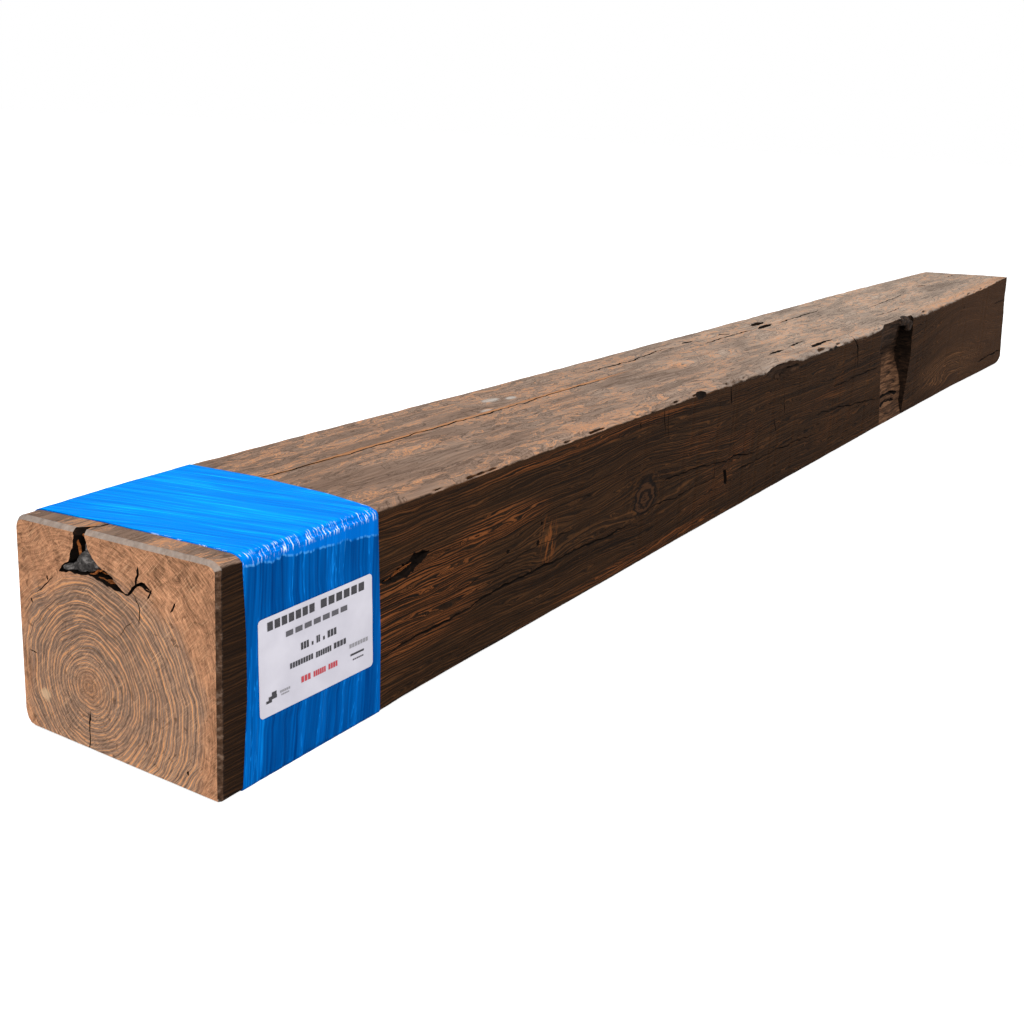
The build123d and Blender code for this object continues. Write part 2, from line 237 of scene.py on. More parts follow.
def section_rings(distances, steps):
    """Rings of points round the timber, one for each distance, with their outward directions.

    steps counts the points on the front, the worn arris, the top, each corner and the back.
    The rings start above the bottom front arris, climb the front, cross the top and come back below.
    """
    front_steps, arris_steps, top_steps, corner_steps, back_steps = steps
    y_front = front_at(distances)
    y_back = back_at(distances)
    z_arris = arris_at(distances)
    drop = np.maximum(top_at(distances, y_front) - z_arris, 0.004)
    spread = 0.007 + 0.75 * np.minimum(drop, 0.022)
    z_edge = top_at(distances, y_front + spread)
    ones = np.ones_like(distances)
    sides = []

    def line(y0, z0, y1, z1, count):
        for step in range(count):
            share = step / count
            sides.append((y0 + (y1 - y0) * share, z0 + (z1 - z0) * share))

    def corner(center_y, center_z, radius, start):
        for step in range(corner_steps):
            angle = start - math.pi / 2 * step / corner_steps
            sides.append((center_y + radius * math.cos(angle), center_z + radius * math.sin(angle)))

    flare = foot_flare * smooth(2.45, 2.95, distances)
    line(y_front - flare, (bed_z + bottom_front_round) * ones, y_front, z_arris, front_steps)
    for step in range(arris_steps):
        share = step / arris_steps
        keep, pull, reach = (1 - share) ** 2, 2 * share * (1 - share), share**2
        control_y = y_front + spread * 0.10
        control_z = z_edge - drop * 0.12
        y = keep * y_front + pull * control_y + reach * (y_front + spread)
        z = keep * z_arris + pull * control_z + reach * z_edge
        sides.append((y, z))
    y_last = y_back - top_back_round
    for step in range(top_steps):
        y = y_front + spread + (y_last - y_front - spread) * step / top_steps
        sides.append((y, top_at(distances, y)))
    z_last = top_at(distances, y_last)
    corner(y_last, z_last - top_back_round, top_back_round, math.pi / 2)
    line(y_back, z_last - top_back_round, y_back, (bed_z + bottom_back_round) * ones, back_steps)
    corner(y_back - bottom_back_round, bed_z + bottom_back_round, bottom_back_round, 0.0)
    start = y_back - bottom_back_round
    toe = y_front - flare + bottom_front_round
    line(start, bed_z * ones, toe, bed_z * ones, back_steps)
    corner(toe, bed_z + bottom_front_round, bottom_front_round, -math.pi / 2)

    ring = np.array([np.stack([y + 0 * ones, z + 0 * ones], axis=-1) for y, z in sides])
    ring = ring.transpose(1, 0, 2)
    along = np.roll(ring, -1, axis=1) - np.roll(ring, 1, axis=1)
    out = np.stack([-along[:, :, 1], along[:, :, 0]], axis=-1)
    out /= np.linalg.norm(out, axis=2, keepdims=True) + 1e-12
    return ring, out


def stations(end, finest, coarsest):
    """Distances from the near end, close together there and wider apart further along."""
    places = [0.0, 0.0012, 0.0024, 0.0036]
    while places[-1] < end - coarsest:
        share = places[-1] / end
        places.append(places[-1] + finest + (coarsest - finest) * share**0.7)
    places += [end - 0.006, end - 0.0025, end]
    return np.array(places)


def timber_relief(points, out):
    """How far each point of the skin is worn in below the sawn surface, in metres."""
    front = smooth(0.6, 0.9, -out[:, 0])
    top = smooth(0.6, 0.9, out[:, 1])
    distance = points[:, 0] - near_x
    broad = noise(points, (3, 14, 14), 11, 2)
    wash = noise(points, (11, 100, 100), 12, 3)
    fibre = noise(points, (26, 330, 330), 13, 2)
    scallop = noise(points, (22, 34, 34), 16, 2)
    relief = 0.0010 * broad + 0.0008 * wash + 0.0005 * fibre
    relief += top * 0.0012 * np.abs(scallop - 0.5) * 2
    saw = noise(points * np.array([1, 0, 0.12]), (110, 1, 30), 14, 2)
    relief += front * 0.0010 * smooth(0.60, 0.75, saw) * smooth(0.3, 0.9, distance)
    edge = smooth(0.08, 0.26, 1 - np.abs(out).max(axis=1)) * (points[:, 2] > 0.1)
    nibble = noise(points, (48, 60, 60), 15, 3)
    relief += edge * 0.0040 * smooth(0.42, 0.85, nibble)
    knot = np.hypot((distance - KNOT[0]) * 0.62, points[:, 2] - KNOT[1])
    relief += front * 0.0011 * (0.5 + 0.5 * np.sin(knot * 780)) * smooth(0.060, 0.020, knot)
    relief -= front * 0.0006 * smooth(0.055, 0.02, knot)
    covered = smooth(film_start + 0.007, film_start + 0.013, distance)
    covered = covered * smooth(film_end - 0.008, film_end - 0.014, distance)
    near_film = smooth(0.0, 0.010, distance) * smooth(0.27, 0.235, distance)
    relief = relief * (1 - 0.55 * near_film)
    return relief * (1 - covered) + 0.0030 * covered


KNOT = (0.820, 0.092)
SKIN_STEPS = (54, 9, 50, 4, 18)


def end_cap(rim, rings_in, center, plane, previous, start):
    """Points and faces that close a ring with smaller rings towards a centre."""
    count = len(rim)
    verts = []
    faces = []
    for ring in range(1, rings_in + 1):
        share = 1 - (ring / (rings_in + 0.6)) ** 0.95
        y = center[0] + (rim[:, 1] - center[0]) * share
        z = center[1] + (rim[:, 2] - center[1]) * share
        points = np.stack([plane(y, z, min(1.0, ring / 3)), y, z], axis=-1)
        here = np.arange(start, start + count)
        verts.append(points)
        start += count
        for column in range(count):
            after = (column + 1) % count
            faces.append((previous[column], previous[after], here[after], here[column]))
        previous = here
    verts.append(points.mean(axis=0)[None, :])
    for column in range(count):
        faces.append((previous[column], previous[(column + 1) % count], start))
    return verts, faces, start + 1


def near_plane(y, z, share):
    """X of the near end face, with the shallow relief of weathered end grain."""
    points = np.stack([y * 0, y, z], axis=-1)
    worn = noise(points, (1, 24, 24), 21, 3) * 0.0014
    radius = np.hypot(y - pith_y, z - pith_z)
    angle = np.arctan2(z - pith_z, y - pith_y)
    ringed = np.stack([radius, np.cos(angle) * 0.02, np.sin(angle) * 0.02], axis=-1)
    worn += noise(ringed, (260, 120, 120), 22, 2) * 0.0007
    return near_x + near_end_skew * (y - front_y) / beam_width + worn * share


def far_plane(y, z, share):
    """X of the far end face."""
    points = np.stack([y * 0, y, z], axis=-1)
    worn = noise(points, (1, 30, 60), 23, 3) * 0.0016
    return bend_to_ends(np.full_like(y, beam_length), y, z) - worn * share


def build_skin(materials):
    """Closed, dense skin of the timber before anything is cut into it."""
    distances = stations(beam_length, 0.0040, 0.0092)
    ring, out = section_rings(distances, SKIN_STEPS)
    count = ring.shape[1]
    bevel = np.zeros(len(distances))
    bevel[:4] = (0.0036, 0.0025, 0.0013, 0.0)
    bevel[-3:] = (0.0, 0.0016, 0.0045)
    under = smooth(0.5, 0.9, -out[:, :, 1])
    inset = bevel[:, None] * (1 - 0.65 * under)
    y = ring[:, :, 0] - out[:, :, 0] * inset
    z = ring[:, :, 1] - out[:, :, 1] * inset
    skin = np.stack([bend_to_ends(distances[:, None], y, z), y, z], axis=-1).reshape(-1, 3)
    flat_out = out.reshape(-1, 2)
    relief = timber_relief(skin, flat_out)
    eased = np.repeat(smooth(0.0, 0.012, distances) * 0.7 + 0.3, count)
    skin[:, 1:] -= flat_out * (relief * eased)[:, None]

    faces = ring_faces(len(distances) - 1, count, turned=True)
    verts = [skin]
    start = len(skin)
    near = np.arange(count)
    added, closed, start = end_cap(skin[near], 44, (pith_y, pith_z), near_plane, near, start)
    verts += added
    faces += closed
    far = np.arange((len(distances) - 1) * count, len(distances) * count)
    added, closed, start = end_cap(skin[far], 12, (0.0, 0.11), far_plane, far, start)
    verts += added
    faces += [face[::-1] for face in closed]
    return mesh_object("timber", np.concatenate(verts), faces, *materials)


def turn_outwards(piece):
    """Makes every closed shell of a mesh face outwards."""
    with editing(piece) as shape:
        bmesh.ops.recalc_face_normals(shape, faces=shape.faces)


def cut(piece, cutter):
    """Cuts the closed cutter out of the piece, and deletes the cutter."""
    modifier = piece.modifiers.new("cut", "BOOLEAN")
    modifier.operation = "DIFFERENCE"
    modifier.solver = "MANIFOLD"
    modifier.object = cutter
    graph = bpy.context.evaluated_depsgraph_get()
    mesh = bpy.data.meshes.new_from_object(piece.evaluated_get(graph), depsgraph=graph)
    piece.modifiers.clear()
    old = piece.data
    piece.data = mesh
    bpy.data.meshes.remove(old)
    used = cutter.data
    bpy.data.objects.remove(cutter)
    bpy.data.meshes.remove(used)


def on_front(distance, height, depth):
    """Point this deep behind the front face."""
    return (near_x + distance, front_at(distance) + depth, bed_z + height)


def on_top(distance, from_front, depth):
    """Point this deep below the top."""
    y = front_y + from_front
    return (near_x + distance, y, float(top_at(distance, y)) - depth)


def on_end(from_front, height, depth):
    """Point this deep behind the near end."""
    y = front_y + from_front
    return (near_x + near_end_skew * from_front / beam_width + depth, y, bed_z + height)


def lengths_along(path):
    """Running length of a path at each of its points."""
    return np.concatenate([[0], np.cumsum(np.linalg.norm(np.diff(path, axis=0), axis=1))])


def points_round(outline, count=None):
    """Even points round a closed outline, about 4 mm apart if no count is given, and its length."""
    closed = np.vstack([outline, outline[:1]])
    at = lengths_along(closed)
    count = count or max(12, int(at[-1] / 0.004))
    t = np.linspace(0, at[-1], count, endpoint=False)
    points = np.stack([np.interp(t, at, closed[:, 0]), np.interp(t, at, closed[:, 1])], axis=-1)
    return points, at[-1]


def groove(path, place, width, depth, seed, step=0.010, jag=0.0016, closing=3.0):
    """Points and faces of a ragged V shaped cutter that follows a path drawn on a face.

    The path, width and depth are in millimetres. step is the spacing of the points and jag their
    raggedness, both in metres; with a larger closing the groove is wide nearer to its ends.
    """
    random = np.random.default_rng(seed)
    path = np.array(path, float) * MM
    width, depth = width * MM, depth * MM
    at = lengths_along(path)
    count = max(5, int(at[-1] / step))
    t = np.linspace(0, at[-1], count)
    u = np.interp(t, at, path[:, 0])
    v = np.interp(t, at, path[:, 1])
    bell = np.sin(np.pi * t / at[-1])
    wander = np.convolve(random.normal(0, 1, count + 4), np.ones(5) / 5, "valid")
    du = np.gradient(u)
    dv = np.gradient(v)
    size = np.hypot(du, dv)
    side_u, side_v = -dv / size, du / size
    shift = jag * (wander + 0.5 * random.normal(0, 1, count)) * np.clip(bell * 4, 0, 1)
    u = u + side_u * shift
    v = v + side_v * shift
    swell = np.convolve(random.uniform(0.3, 1.3, count + 2), np.ones(3) / 3, "valid")
    half = width / 2 * swell * np.clip(bell * closing, 0.05, 1)
    sunk = depth * (0.3 + 0.7 * np.clip(bell * 2.2, 0, 1))
    proud = 0.005
    verts = []
    for index in range(count):
        for sign in (-1, 1):
            flare = sign * half[index] * (1 + proud / depth)
            u_side = u[index] + side_u[index] * flare
            v_side = v[index] + side_v[index] * flare
            verts.append(place(u_side, v_side, -proud))
        verts.append(place(u[index], v[index], sunk[index]))
    faces = [(0, 1, 2)]
    for index in range(count - 1):
        a = index * 3
        for left, right in ((0, 1), (1, 2), (2, 0)):
            faces.append((a + left, a + 3 + left, a + 3 + right, a + right))
    last = (count - 1) * 3
    faces.append((last + 2, last + 1, last))
    return np.array(verts), faces


def pit(outline, place, depth, seed):
    """Points and faces of a ragged pit cutter with a closed outline, in millimetres like its depth."""
    random = np.random.default_rng(seed)
    path = np.array(outline, float) * MM
    depth = depth * MM
    edge, length = points_round(path)
    count = len(edge)
    middle = path.mean(axis=0)
    jag = min(0.0016, 0.006 * length)
    verts = []
    for level, share in ((-0.006, 1.05), (0.0, 1.0), (0.55 * depth, 0.86), (depth, 0.5)):
        ring = middle + (edge - middle) * share + random.normal(0, jag, edge.shape)
        verts += [place(u, v, level) for u, v in ring]
    faces = [tuple(range(count))[::-1], tuple(range(3 * count, 4 * count))]
    return np.array(verts), faces + ring_faces(3, count)


def cutter_object(name, parts, materials, index):
    """One cutter from several closed groups of points and faces; its faces carry one of the materials."""
    verts = []
    faces = []
    start = 0
    for points, group in parts:
        verts.append(points)
        faces += [tuple(i + start for i in face) for face in group]
        start += len(points)
    piece = mesh_object(name, np.concatenate(verts), faces, *materials)
    for face in piece.data.polygons:
        face.material_index = index
    turn_outwards(piece)
    return piece


# Path, width and depth in millimetres; paths give distance from the near end and height
FRONT_CHECKS = (
    (((205, 55), (279, 60), (347, 61), (406, 66), (477, 67), (590, 66), (718, 62), (795, 64)), 3.2, 24),
    (((795, 64), (862, 72), (910, 70), (972, 69), (1031, 69), (1092, 65)), 2.0, 12),
    (((1113, 64), (1153, 62), (1214, 63), (1338, 63), (1409, 61), (1537, 56)), 2.6, 16),
    (((857, 98), (893, 103), (931, 102), (988, 98), (1100, 87), (1153, 86), (1224, 77), (1257, 84)),
     2.8, 16),
    (((1507, 92), (1570, 89), (1646, 85), (1726, 77), (1810, 72), (1923, 62)), 2.8, 18),
    (((1592, 129), (1628, 130), (1686, 129), (1743, 135), (1849, 131), (1888, 133)), 3.0, 18),
    (((300, 141), (341, 139), (372, 140)), 1.4, 6),
    (((332, 84), (371, 88), (410, 91), (474, 92), (530, 97), (573, 94), (639, 95)), 1.5, 6),
    (((2773, 31), (2871, 34), (2960, 36), (3030, 34)), 4.4, 22),
    (((2880, 170), (2930, 172), (2995, 173)), 3.0, 14),
    (((1944, 50), (1995, 53), (2040, 55), (2100, 50)), 17, 30),
    (((1958, 35), (1990, 38), (2040, 40), (2082, 36)), 15, 28),
)
CROSS_CRACKS = (
    (((1700, 222), (1708, 204), (1727, 189), (1732, 172), (1743, 146)), 6, 14),
    (((859, 206), (862, 192), (865, 180), (868, 168)), 4, 6),
    (((873, 206), (876, 190), (880, 160)), 2.4, 4),
    (((1096, 206), (1100, 184), (1106, 171)), 5, 7),
    (((1299, 126), (1308, 110), (1322, 92)), 5, 7),
    (((1337, 164), (1343, 140), (1352, 117)), 3.4, 5),
    (((785, 200), (790, 186)), 3.4, 4),
    (((1062, 62), (1062, 84), (1066, 104)), 2.4, 4),
)
# Outline and depth of pits in the front, in millimetres, and which surface they show
FRONT_PITS = (
    (((223, 136), (240, 139), (252, 143), (265, 144), (273, 149), (283, 152), (294, 150), (308, 147),
      (300, 141), (289, 137), (279, 133), (268, 130), (249, 130), (226, 133)), 16, INSIDE),
    (((1242, 198), (1262, 210), (1290, 226), (1340, 228), (1404, 226), (1410, 203), (1392, 191),
      (1368, 189), (1350, 182), (1333, 179), (1302, 184), (1276, 187)), 9, HEWN),
    (((1096, 75), (1109, 73), (1117, 58), (1118, 47), (1106, 50)), 10, INSIDE),
    (((526, 99), (530, 103), (535, 100), (531, 95)), 7, INSIDE),
    (((534, 121), (537, 124), (541, 121), (537, 118)), 5, INSIDE),
    (((458, 106), (462, 109), (467, 106), (462, 103)), 5, INSIDE),
    (((964, 207), (975, 216), (1000, 215), (1006, 205), (994, 200), (976, 200)), 7, INSIDE),
    (((2551, 190), (2556, 194), (2561, 189), (2556, 184)), 5, INSIDE),
)
# Distance from the near end and distance from the front
TOP_CHECKS = (
    (((60, 166), (219, 156), (313, 151), (418, 152), (585, 151), (674, 149), (829, 152), (1030, 150)),
     3.4, 20),
    (((954, 194), (998, 189), (1055, 190), (1120, 188), (1191, 193), (1254, 198), (1300, 191)), 4.4, 20),
    (((1361, 170), (1420, 172), (1476, 173), (1577, 172), (1612, 169)), 4.4, 18),
    (((1722, 167), (1817, 171), (1890, 169), (1979, 172)), 6.0, 18),
    (((1340, 201), (1362, 200), (1386, 197)), 10, 10),
    (((1480, 192), (1515, 181)), 8, 8),
    (((1366, 52), (1405, 55), (1446, 54)), 8, 14),
    (((1475, 58), (1520, 61), (1568, 60)), 7, 12),
    (((1503, 28), (1559, 31), (1632, 29)), 10, 13),
    (((1480, 6), (1560, 9), (1632, 9), (1676, 5)), 8, 13),
    (((2100, 108), (2240, 112), (2420, 118)), 3.4, 10),
    (((2604, 142), (2660, 126)), 8, 6),
    (((2890, 132), (2970, 131)), 6, 6),
    (((2020, 62), (2090, 58), (2190, 62)), 2.8, 8),
)
TOP_PITS = (
    (((1636, 187), (1650, 197), (1681, 200), (1711, 193), (1684, 184)), 16, INSIDE),
    (((1617, 168), (1639, 176), (1677, 178), (1701, 173), (1672, 164), (1638, 165)), 14, INSIDE),
)
# Distance from the front and height on the near end
END_CRACKS = (
    (((114, 161), (108, 160.5), (103, 165), (98, 171.5), (92, 174.5), (86, 174), (78, 171)), 6.0, 34),
    (((98.5, 170), (96, 177), (94.5, 183), (95, 190)), 5.0, 22),
    (((103, 166), (92, 152), (96, 134)), 1.5, 6),
    (((93, 174), (85, 170.5), (77, 169)), 2.8, 12),
    (((78.5, 173.5), (81, 168), (84, 162)), 2.6, 12),
    (((51, 169), (53, 163.5), (57, 157)), 3.0, 9),
    (((161, 40), (163, 23), (163, -4)), 2.2, 18),
    (((229, 134), (216, 144), (202, 157)), 1.4, 5),
    (((243, 76), (230, 75)), 1.4, 5),
    (((213, 155), (211, 150)), 3.2, 7),
    (((236, 128), (233, 123)), 3.0, 7),
    (((40, 18.5), (38, 14)), 3.6, 7),
    (((121, 118), (112, 131), (100, 140)), 1.2, 4),
)


def cut_checks(piece, materials):
    """Cuts the drying checks, cracks and pits into the front, the top and the near end."""

    def cut_grooves(rows, place, seed, *style):
        for index, (path, width, depth) in enumerate(rows):
            part = groove(path, place, width, depth, seed + index, *style)
            cut(piece, cutter_object("groove_cutter", [part], materials, INSIDE))

    def cut_pits(rows, place, seed):
        for index, (outline, depth, surface) in enumerate(rows):
            part = pit(outline, place, depth, seed + index)
            cut(piece, cutter_object("pit_cutter", [part], materials, surface))

    checks = [groove(path, on_front, width, depth, 100 + index)
              for index, (path, width, depth) in enumerate(FRONT_CHECKS)]
    cut(piece, cutter_object("front_cutters", checks, materials, INSIDE))
    cut_grooves(CROSS_CRACKS, on_front, 130, 0.006, 0.0012, 1.6)
    cut_pits(FRONT_PITS, on_front, 160)
    cut_pits(TOP_PITS, on_top, 180)
    cut_grooves(TOP_CHECKS, on_top, 200, 0.010, 0.0018, 1.8)
    cut_grooves(END_CRACKS, on_end, 300, 0.003, 0.0005, 1.6)


def unit_box(cuts, shape, name, materials, index):
    """Closed, evenly divided box whose unit coordinates are mapped by a function of an N by 3 array."""
    grid = bmesh.new()
    bmesh.ops.create_cube(grid, size=1.0)
    bmesh.ops.subdivide_edges(grid, edges=grid.edges, cuts=cuts, use_grid_fill=True)
    unit = np.array([tuple(v.co) for v in grid.verts]) + 0.5
    for vert, place in zip(grid.verts, shape(unit)):
        vert.co = place
    mesh = bpy.data.meshes.new(name)
    grid.to_mesh(mesh)
    grid.free()
    piece = placed(name, mesh, materials)
    for face in mesh.polygons:
        face.material_index = index
    turn_outwards(piece)
    return piece


# Walls of the scoop as height and distance, and its floor as height and depth
HOUSING_NEAR = ((0.0, 1.944), (0.213, 1.873))
HOUSING_FAR = ((0.0, 2.104), (0.128, 2.122), (0.215, 2.105))
HOUSING_FLOOR = (
    (-0.02, 0.001), (0.0, 0.002), (0.032, 0.011), (0.064, 0.013), (0.128, 0.038), (0.215, 0.027),
)
# Shoulder over the scoop: distance and how far it stands behind the front face
SHOULDER_FLOOR = ((1.831, -0.009), (1.915, 0.009), (2.107, 0.009))
SHOULDER_START = SHOULDER_FLOOR[0][0]
SHOULDER_END = SHOULDER_FLOOR[-1][0]
SHOULDER_BOTTOM = 0.156
OVERCUT = 0.02


def hewn_noise(points):
    """Rough and stroked relief of a hewn face, each round 0."""
    rough = noise(points, (60, 60, 90), 31, 3) - 0.5
    strokes = noise(points, (13, 20, 150), 32, 3) - 0.5
    return rough, strokes


def scoop_shape(unit):
    """Deep scoop of the joist housing: u runs along the beam, v up it and w from outside to the floor."""
    u, w, v = unit[:, 0], unit[:, 1], unit[:, 2]
    height = -OVERCUT + v * (0.187 + 0.036 * smooth(0.42, 0.72, u))
    near = np.interp(height, *zip(*HOUSING_NEAR)) + np.maximum(-height, 0) * 0.33
    far = np.interp(height, *zip(*HOUSING_FAR))
    floor = np.interp(height, *zip(*HOUSING_FLOOR))
    depth = -OVERCUT + w * (floor + OVERCUT)
    distance = near + (far - near) * u
    points = np.stack([near_x + distance, front_at(distance) + depth, bed_z + height], axis=-1)
    cupped = 0.004 * np.sin(np.pi * u) * smooth(0.02, 0.05, height) * smooth(0.13, 0.05, height)
    rough, strokes = hewn_noise(points)
    inside = smooth(-0.004, 0.004, depth) * smooth(-0.005, 0.02, height)
    at_floor = smooth(0.9, 1.0, w)
    points[:, 1] += at_floor * (cupped + 0.004 * rough + 0.009 * strokes) * inside
    at_wall = 1 - smooth(0.0, 0.06, np.minimum(u, 1 - u))
    points[:, 0] += at_wall * (0.005 * rough + 0.002 * strokes) * inside
    points[:, 2] += smooth(0.94, 1.0, v) * 0.008 * rough * inside
    return points


def shoulder_shape(unit):
    """Shallow shoulder over the scoop, with a bevel at its near side."""
    u, w, v = unit[:, 0], unit[:, 1], unit[:, 2]
    distance = SHOULDER_START + (SHOULDER_END - SHOULDER_START) * u
    floor = np.interp(distance, *zip(*SHOULDER_FLOOR))
    depth = -OVERCUT + w * (floor + OVERCUT)
    height = SHOULDER_BOTTOM + v * 0.10
    points = np.stack([near_x + distance, front_at(distance) + depth, bed_z + height], axis=-1)
    rough, strokes = hewn_noise(points)
    points[:, 1] += smooth(0.9, 1.0, w) * (0.0035 * rough + 0.004 * strokes)
    return points


# Rotted hollow of the near end: its outline in millimetres, and in metres the depths of its rings,
# the middle of its slot and the heights between which the cave turns into the slot
HOLLOW_OUTLINE = (
    (175, 232), (175, 204), (175, 198), (177, 189), (180, 180), (182, 175), (191, 169), (197, 164),
    (187, 163), (177, 165), (165, 166), (155, 168), (143, 165), (132, 163), (122, 161.5), (113, 160.5),
    (108.5, 161), (117, 166), (124, 170), (133, 175), (141, 178), (146, 181), (150, 185), (154, 190),
    (157, 193), (158, 198), (158, 204), (157, 210), (157, 232),
)
HOLLOW_DEPTHS = (-0.02, 0.0, 0.004, 0.009, 0.015, 0.023, 0.034, 0.05, 0.075, 0.11, 0.165)


HOLLOW_SLOT_MIDDLE = 0.166
HOLLOW_SLOT_LOW = 0.188
HOLLOW_SLOT_HIGH = 0.203


def cut_hollow(piece, materials):
    """Cuts the rotted hollow into the near end: a slot through the top over a wider, closing cave."""
    count = 110
    ring, _ = points_round(np.array(HOLLOW_OUTLINE, float) * MM, count)
    ring_y, ring_z = ring[:, 0], ring[:, 1]
    verts = []
    for deep in HOLLOW_DEPTHS:
        inner = max(0.0, deep)
        high = smooth(HOLLOW_SLOT_LOW, HOLLOW_SLOT_HIGH, ring_z)
        slot = 1 - 0.86 * smooth(0.0, 0.024, inner)
        cave = 1 - 0.6 * inner / HOLLOW_DEPTHS[-1]
        squeeze = cave + (slot - cave) * high
        middle = HOLLOW_SLOT_MIDDLE - 0.010 * smooth(0.0, 0.03, inner) * high
        y = middle + (ring_y - middle) * squeeze
        points = np.stack([near_x + deep + 0 * y, front_y + y, bed_z + ring_z], axis=-1)
        ragged = smooth(-0.001, 0.006, deep)
        points[:, 1] += (noise(points, (90, 170, 170), 42, 3) - 0.5) * 0.006 * (0.35 + ragged)
        shift = (noise(points, (90, 170, 170), 52, 3) - 0.5) * 0.005 * (0.3 + ragged)
        points[:, 2] += shift * (ring_z < 0.21)
        verts.append(points)
    last = (len(HOLLOW_DEPTHS) - 1) * count
    faces = [tuple(range(count))[::-1]] + ring_faces(len(HOLLOW_DEPTHS) - 1, count)
    faces.append(tuple(range(last, last + count)))
    cut(piece, cutter_object("hollow_cutter", [(np.concatenate(verts), faces)], materials, INSIDE))


# The corner's cutter reaches from before the front to behind the back, and this far below the timber
CORNER_CUT_FROM_FRONT = (-0.02, 0.27)
CORNER_CUT_BELOW = 0.03


def cut_worn_corner(piece, materials):
    """Rounds the knocked off bottom corner of the far end; the cut slants, so it fades out inwards."""
    count = 16
    verts = []
    for across in CORNER_CUT_FROM_FRONT:
        end = far_x + across * math.tan(worn_corner_turn)
        y = front_y + across
        for step in range(count):
            angle = math.pi / 2 * step / (count - 1)
            rise = worn_corner_rise * (1 - math.cos(angle)) ** 1.2
            verts.append((end - worn_corner_run * (1 - math.sin(angle)), y, bed_z + rise - 0.0006))
        verts.append((end + worn_corner_run, y, bed_z + worn_corner_rise * 4))
        verts.append((end + worn_corner_run, y, bed_z - CORNER_CUT_BELOW))
        verts.append((end - worn_corner_run, y, bed_z - CORNER_CUT_BELOW))
    per = count + 3
    faces = [tuple(range(per)), tuple(range(per, 2 * per))[::-1]] + ring_faces(1, per, turned=True)
    cut(piece, cutter_object("corner_cutter", [(np.array(verts), faces)], materials, WOOD))


def sharpen(piece, degrees):
    """Smooth shading, with edges sharper than an angle left hard."""
    limit = math.radians(degrees)
    with editing(piece) as shape:
        for face in shape.faces:
            face.smooth = True
        for edge in shape.edges:
            if len(edge.link_faces) == 2:
                edge.smooth = edge.calc_face_angle(0.0) < limit


def srgb(red, green, blue):
    """Colour for a socket from the usual 0 to 255 values."""
    linear = []
    for value in (red, green, blue):
        share = value / 255
        linear.append(share / 12.92 if share < 0.04045 else ((share + 0.055) / 1.055) ** 2.4)
    return (*linear, 1.0)


def operator(operation, swapped=False):
    """Method of Value that adds a math node."""
    def join(self, other):
        return self.graph.math(operation, *((other, self) if swapped else (self, other)))
    return join


class Value:
    """Output of a node, which is reckoned with like a number; each step adds a math node."""

    def __init__(self, graph, socket):
        self.graph = graph
        self.socket = socket

    __add__, __radd__ = operator("ADD"), operator("ADD", True)
    __sub__, __rsub__ = operator("SUBTRACT"), operator("SUBTRACT", True)
    __mul__, __rmul__ = operator("MULTIPLY"), operator("MULTIPLY", True)
    __truediv__, __rtruediv__ = operator("DIVIDE"), operator("DIVIDE", True)

    def __abs__(self):
        return self.graph.math("ABSOLUTE", self)


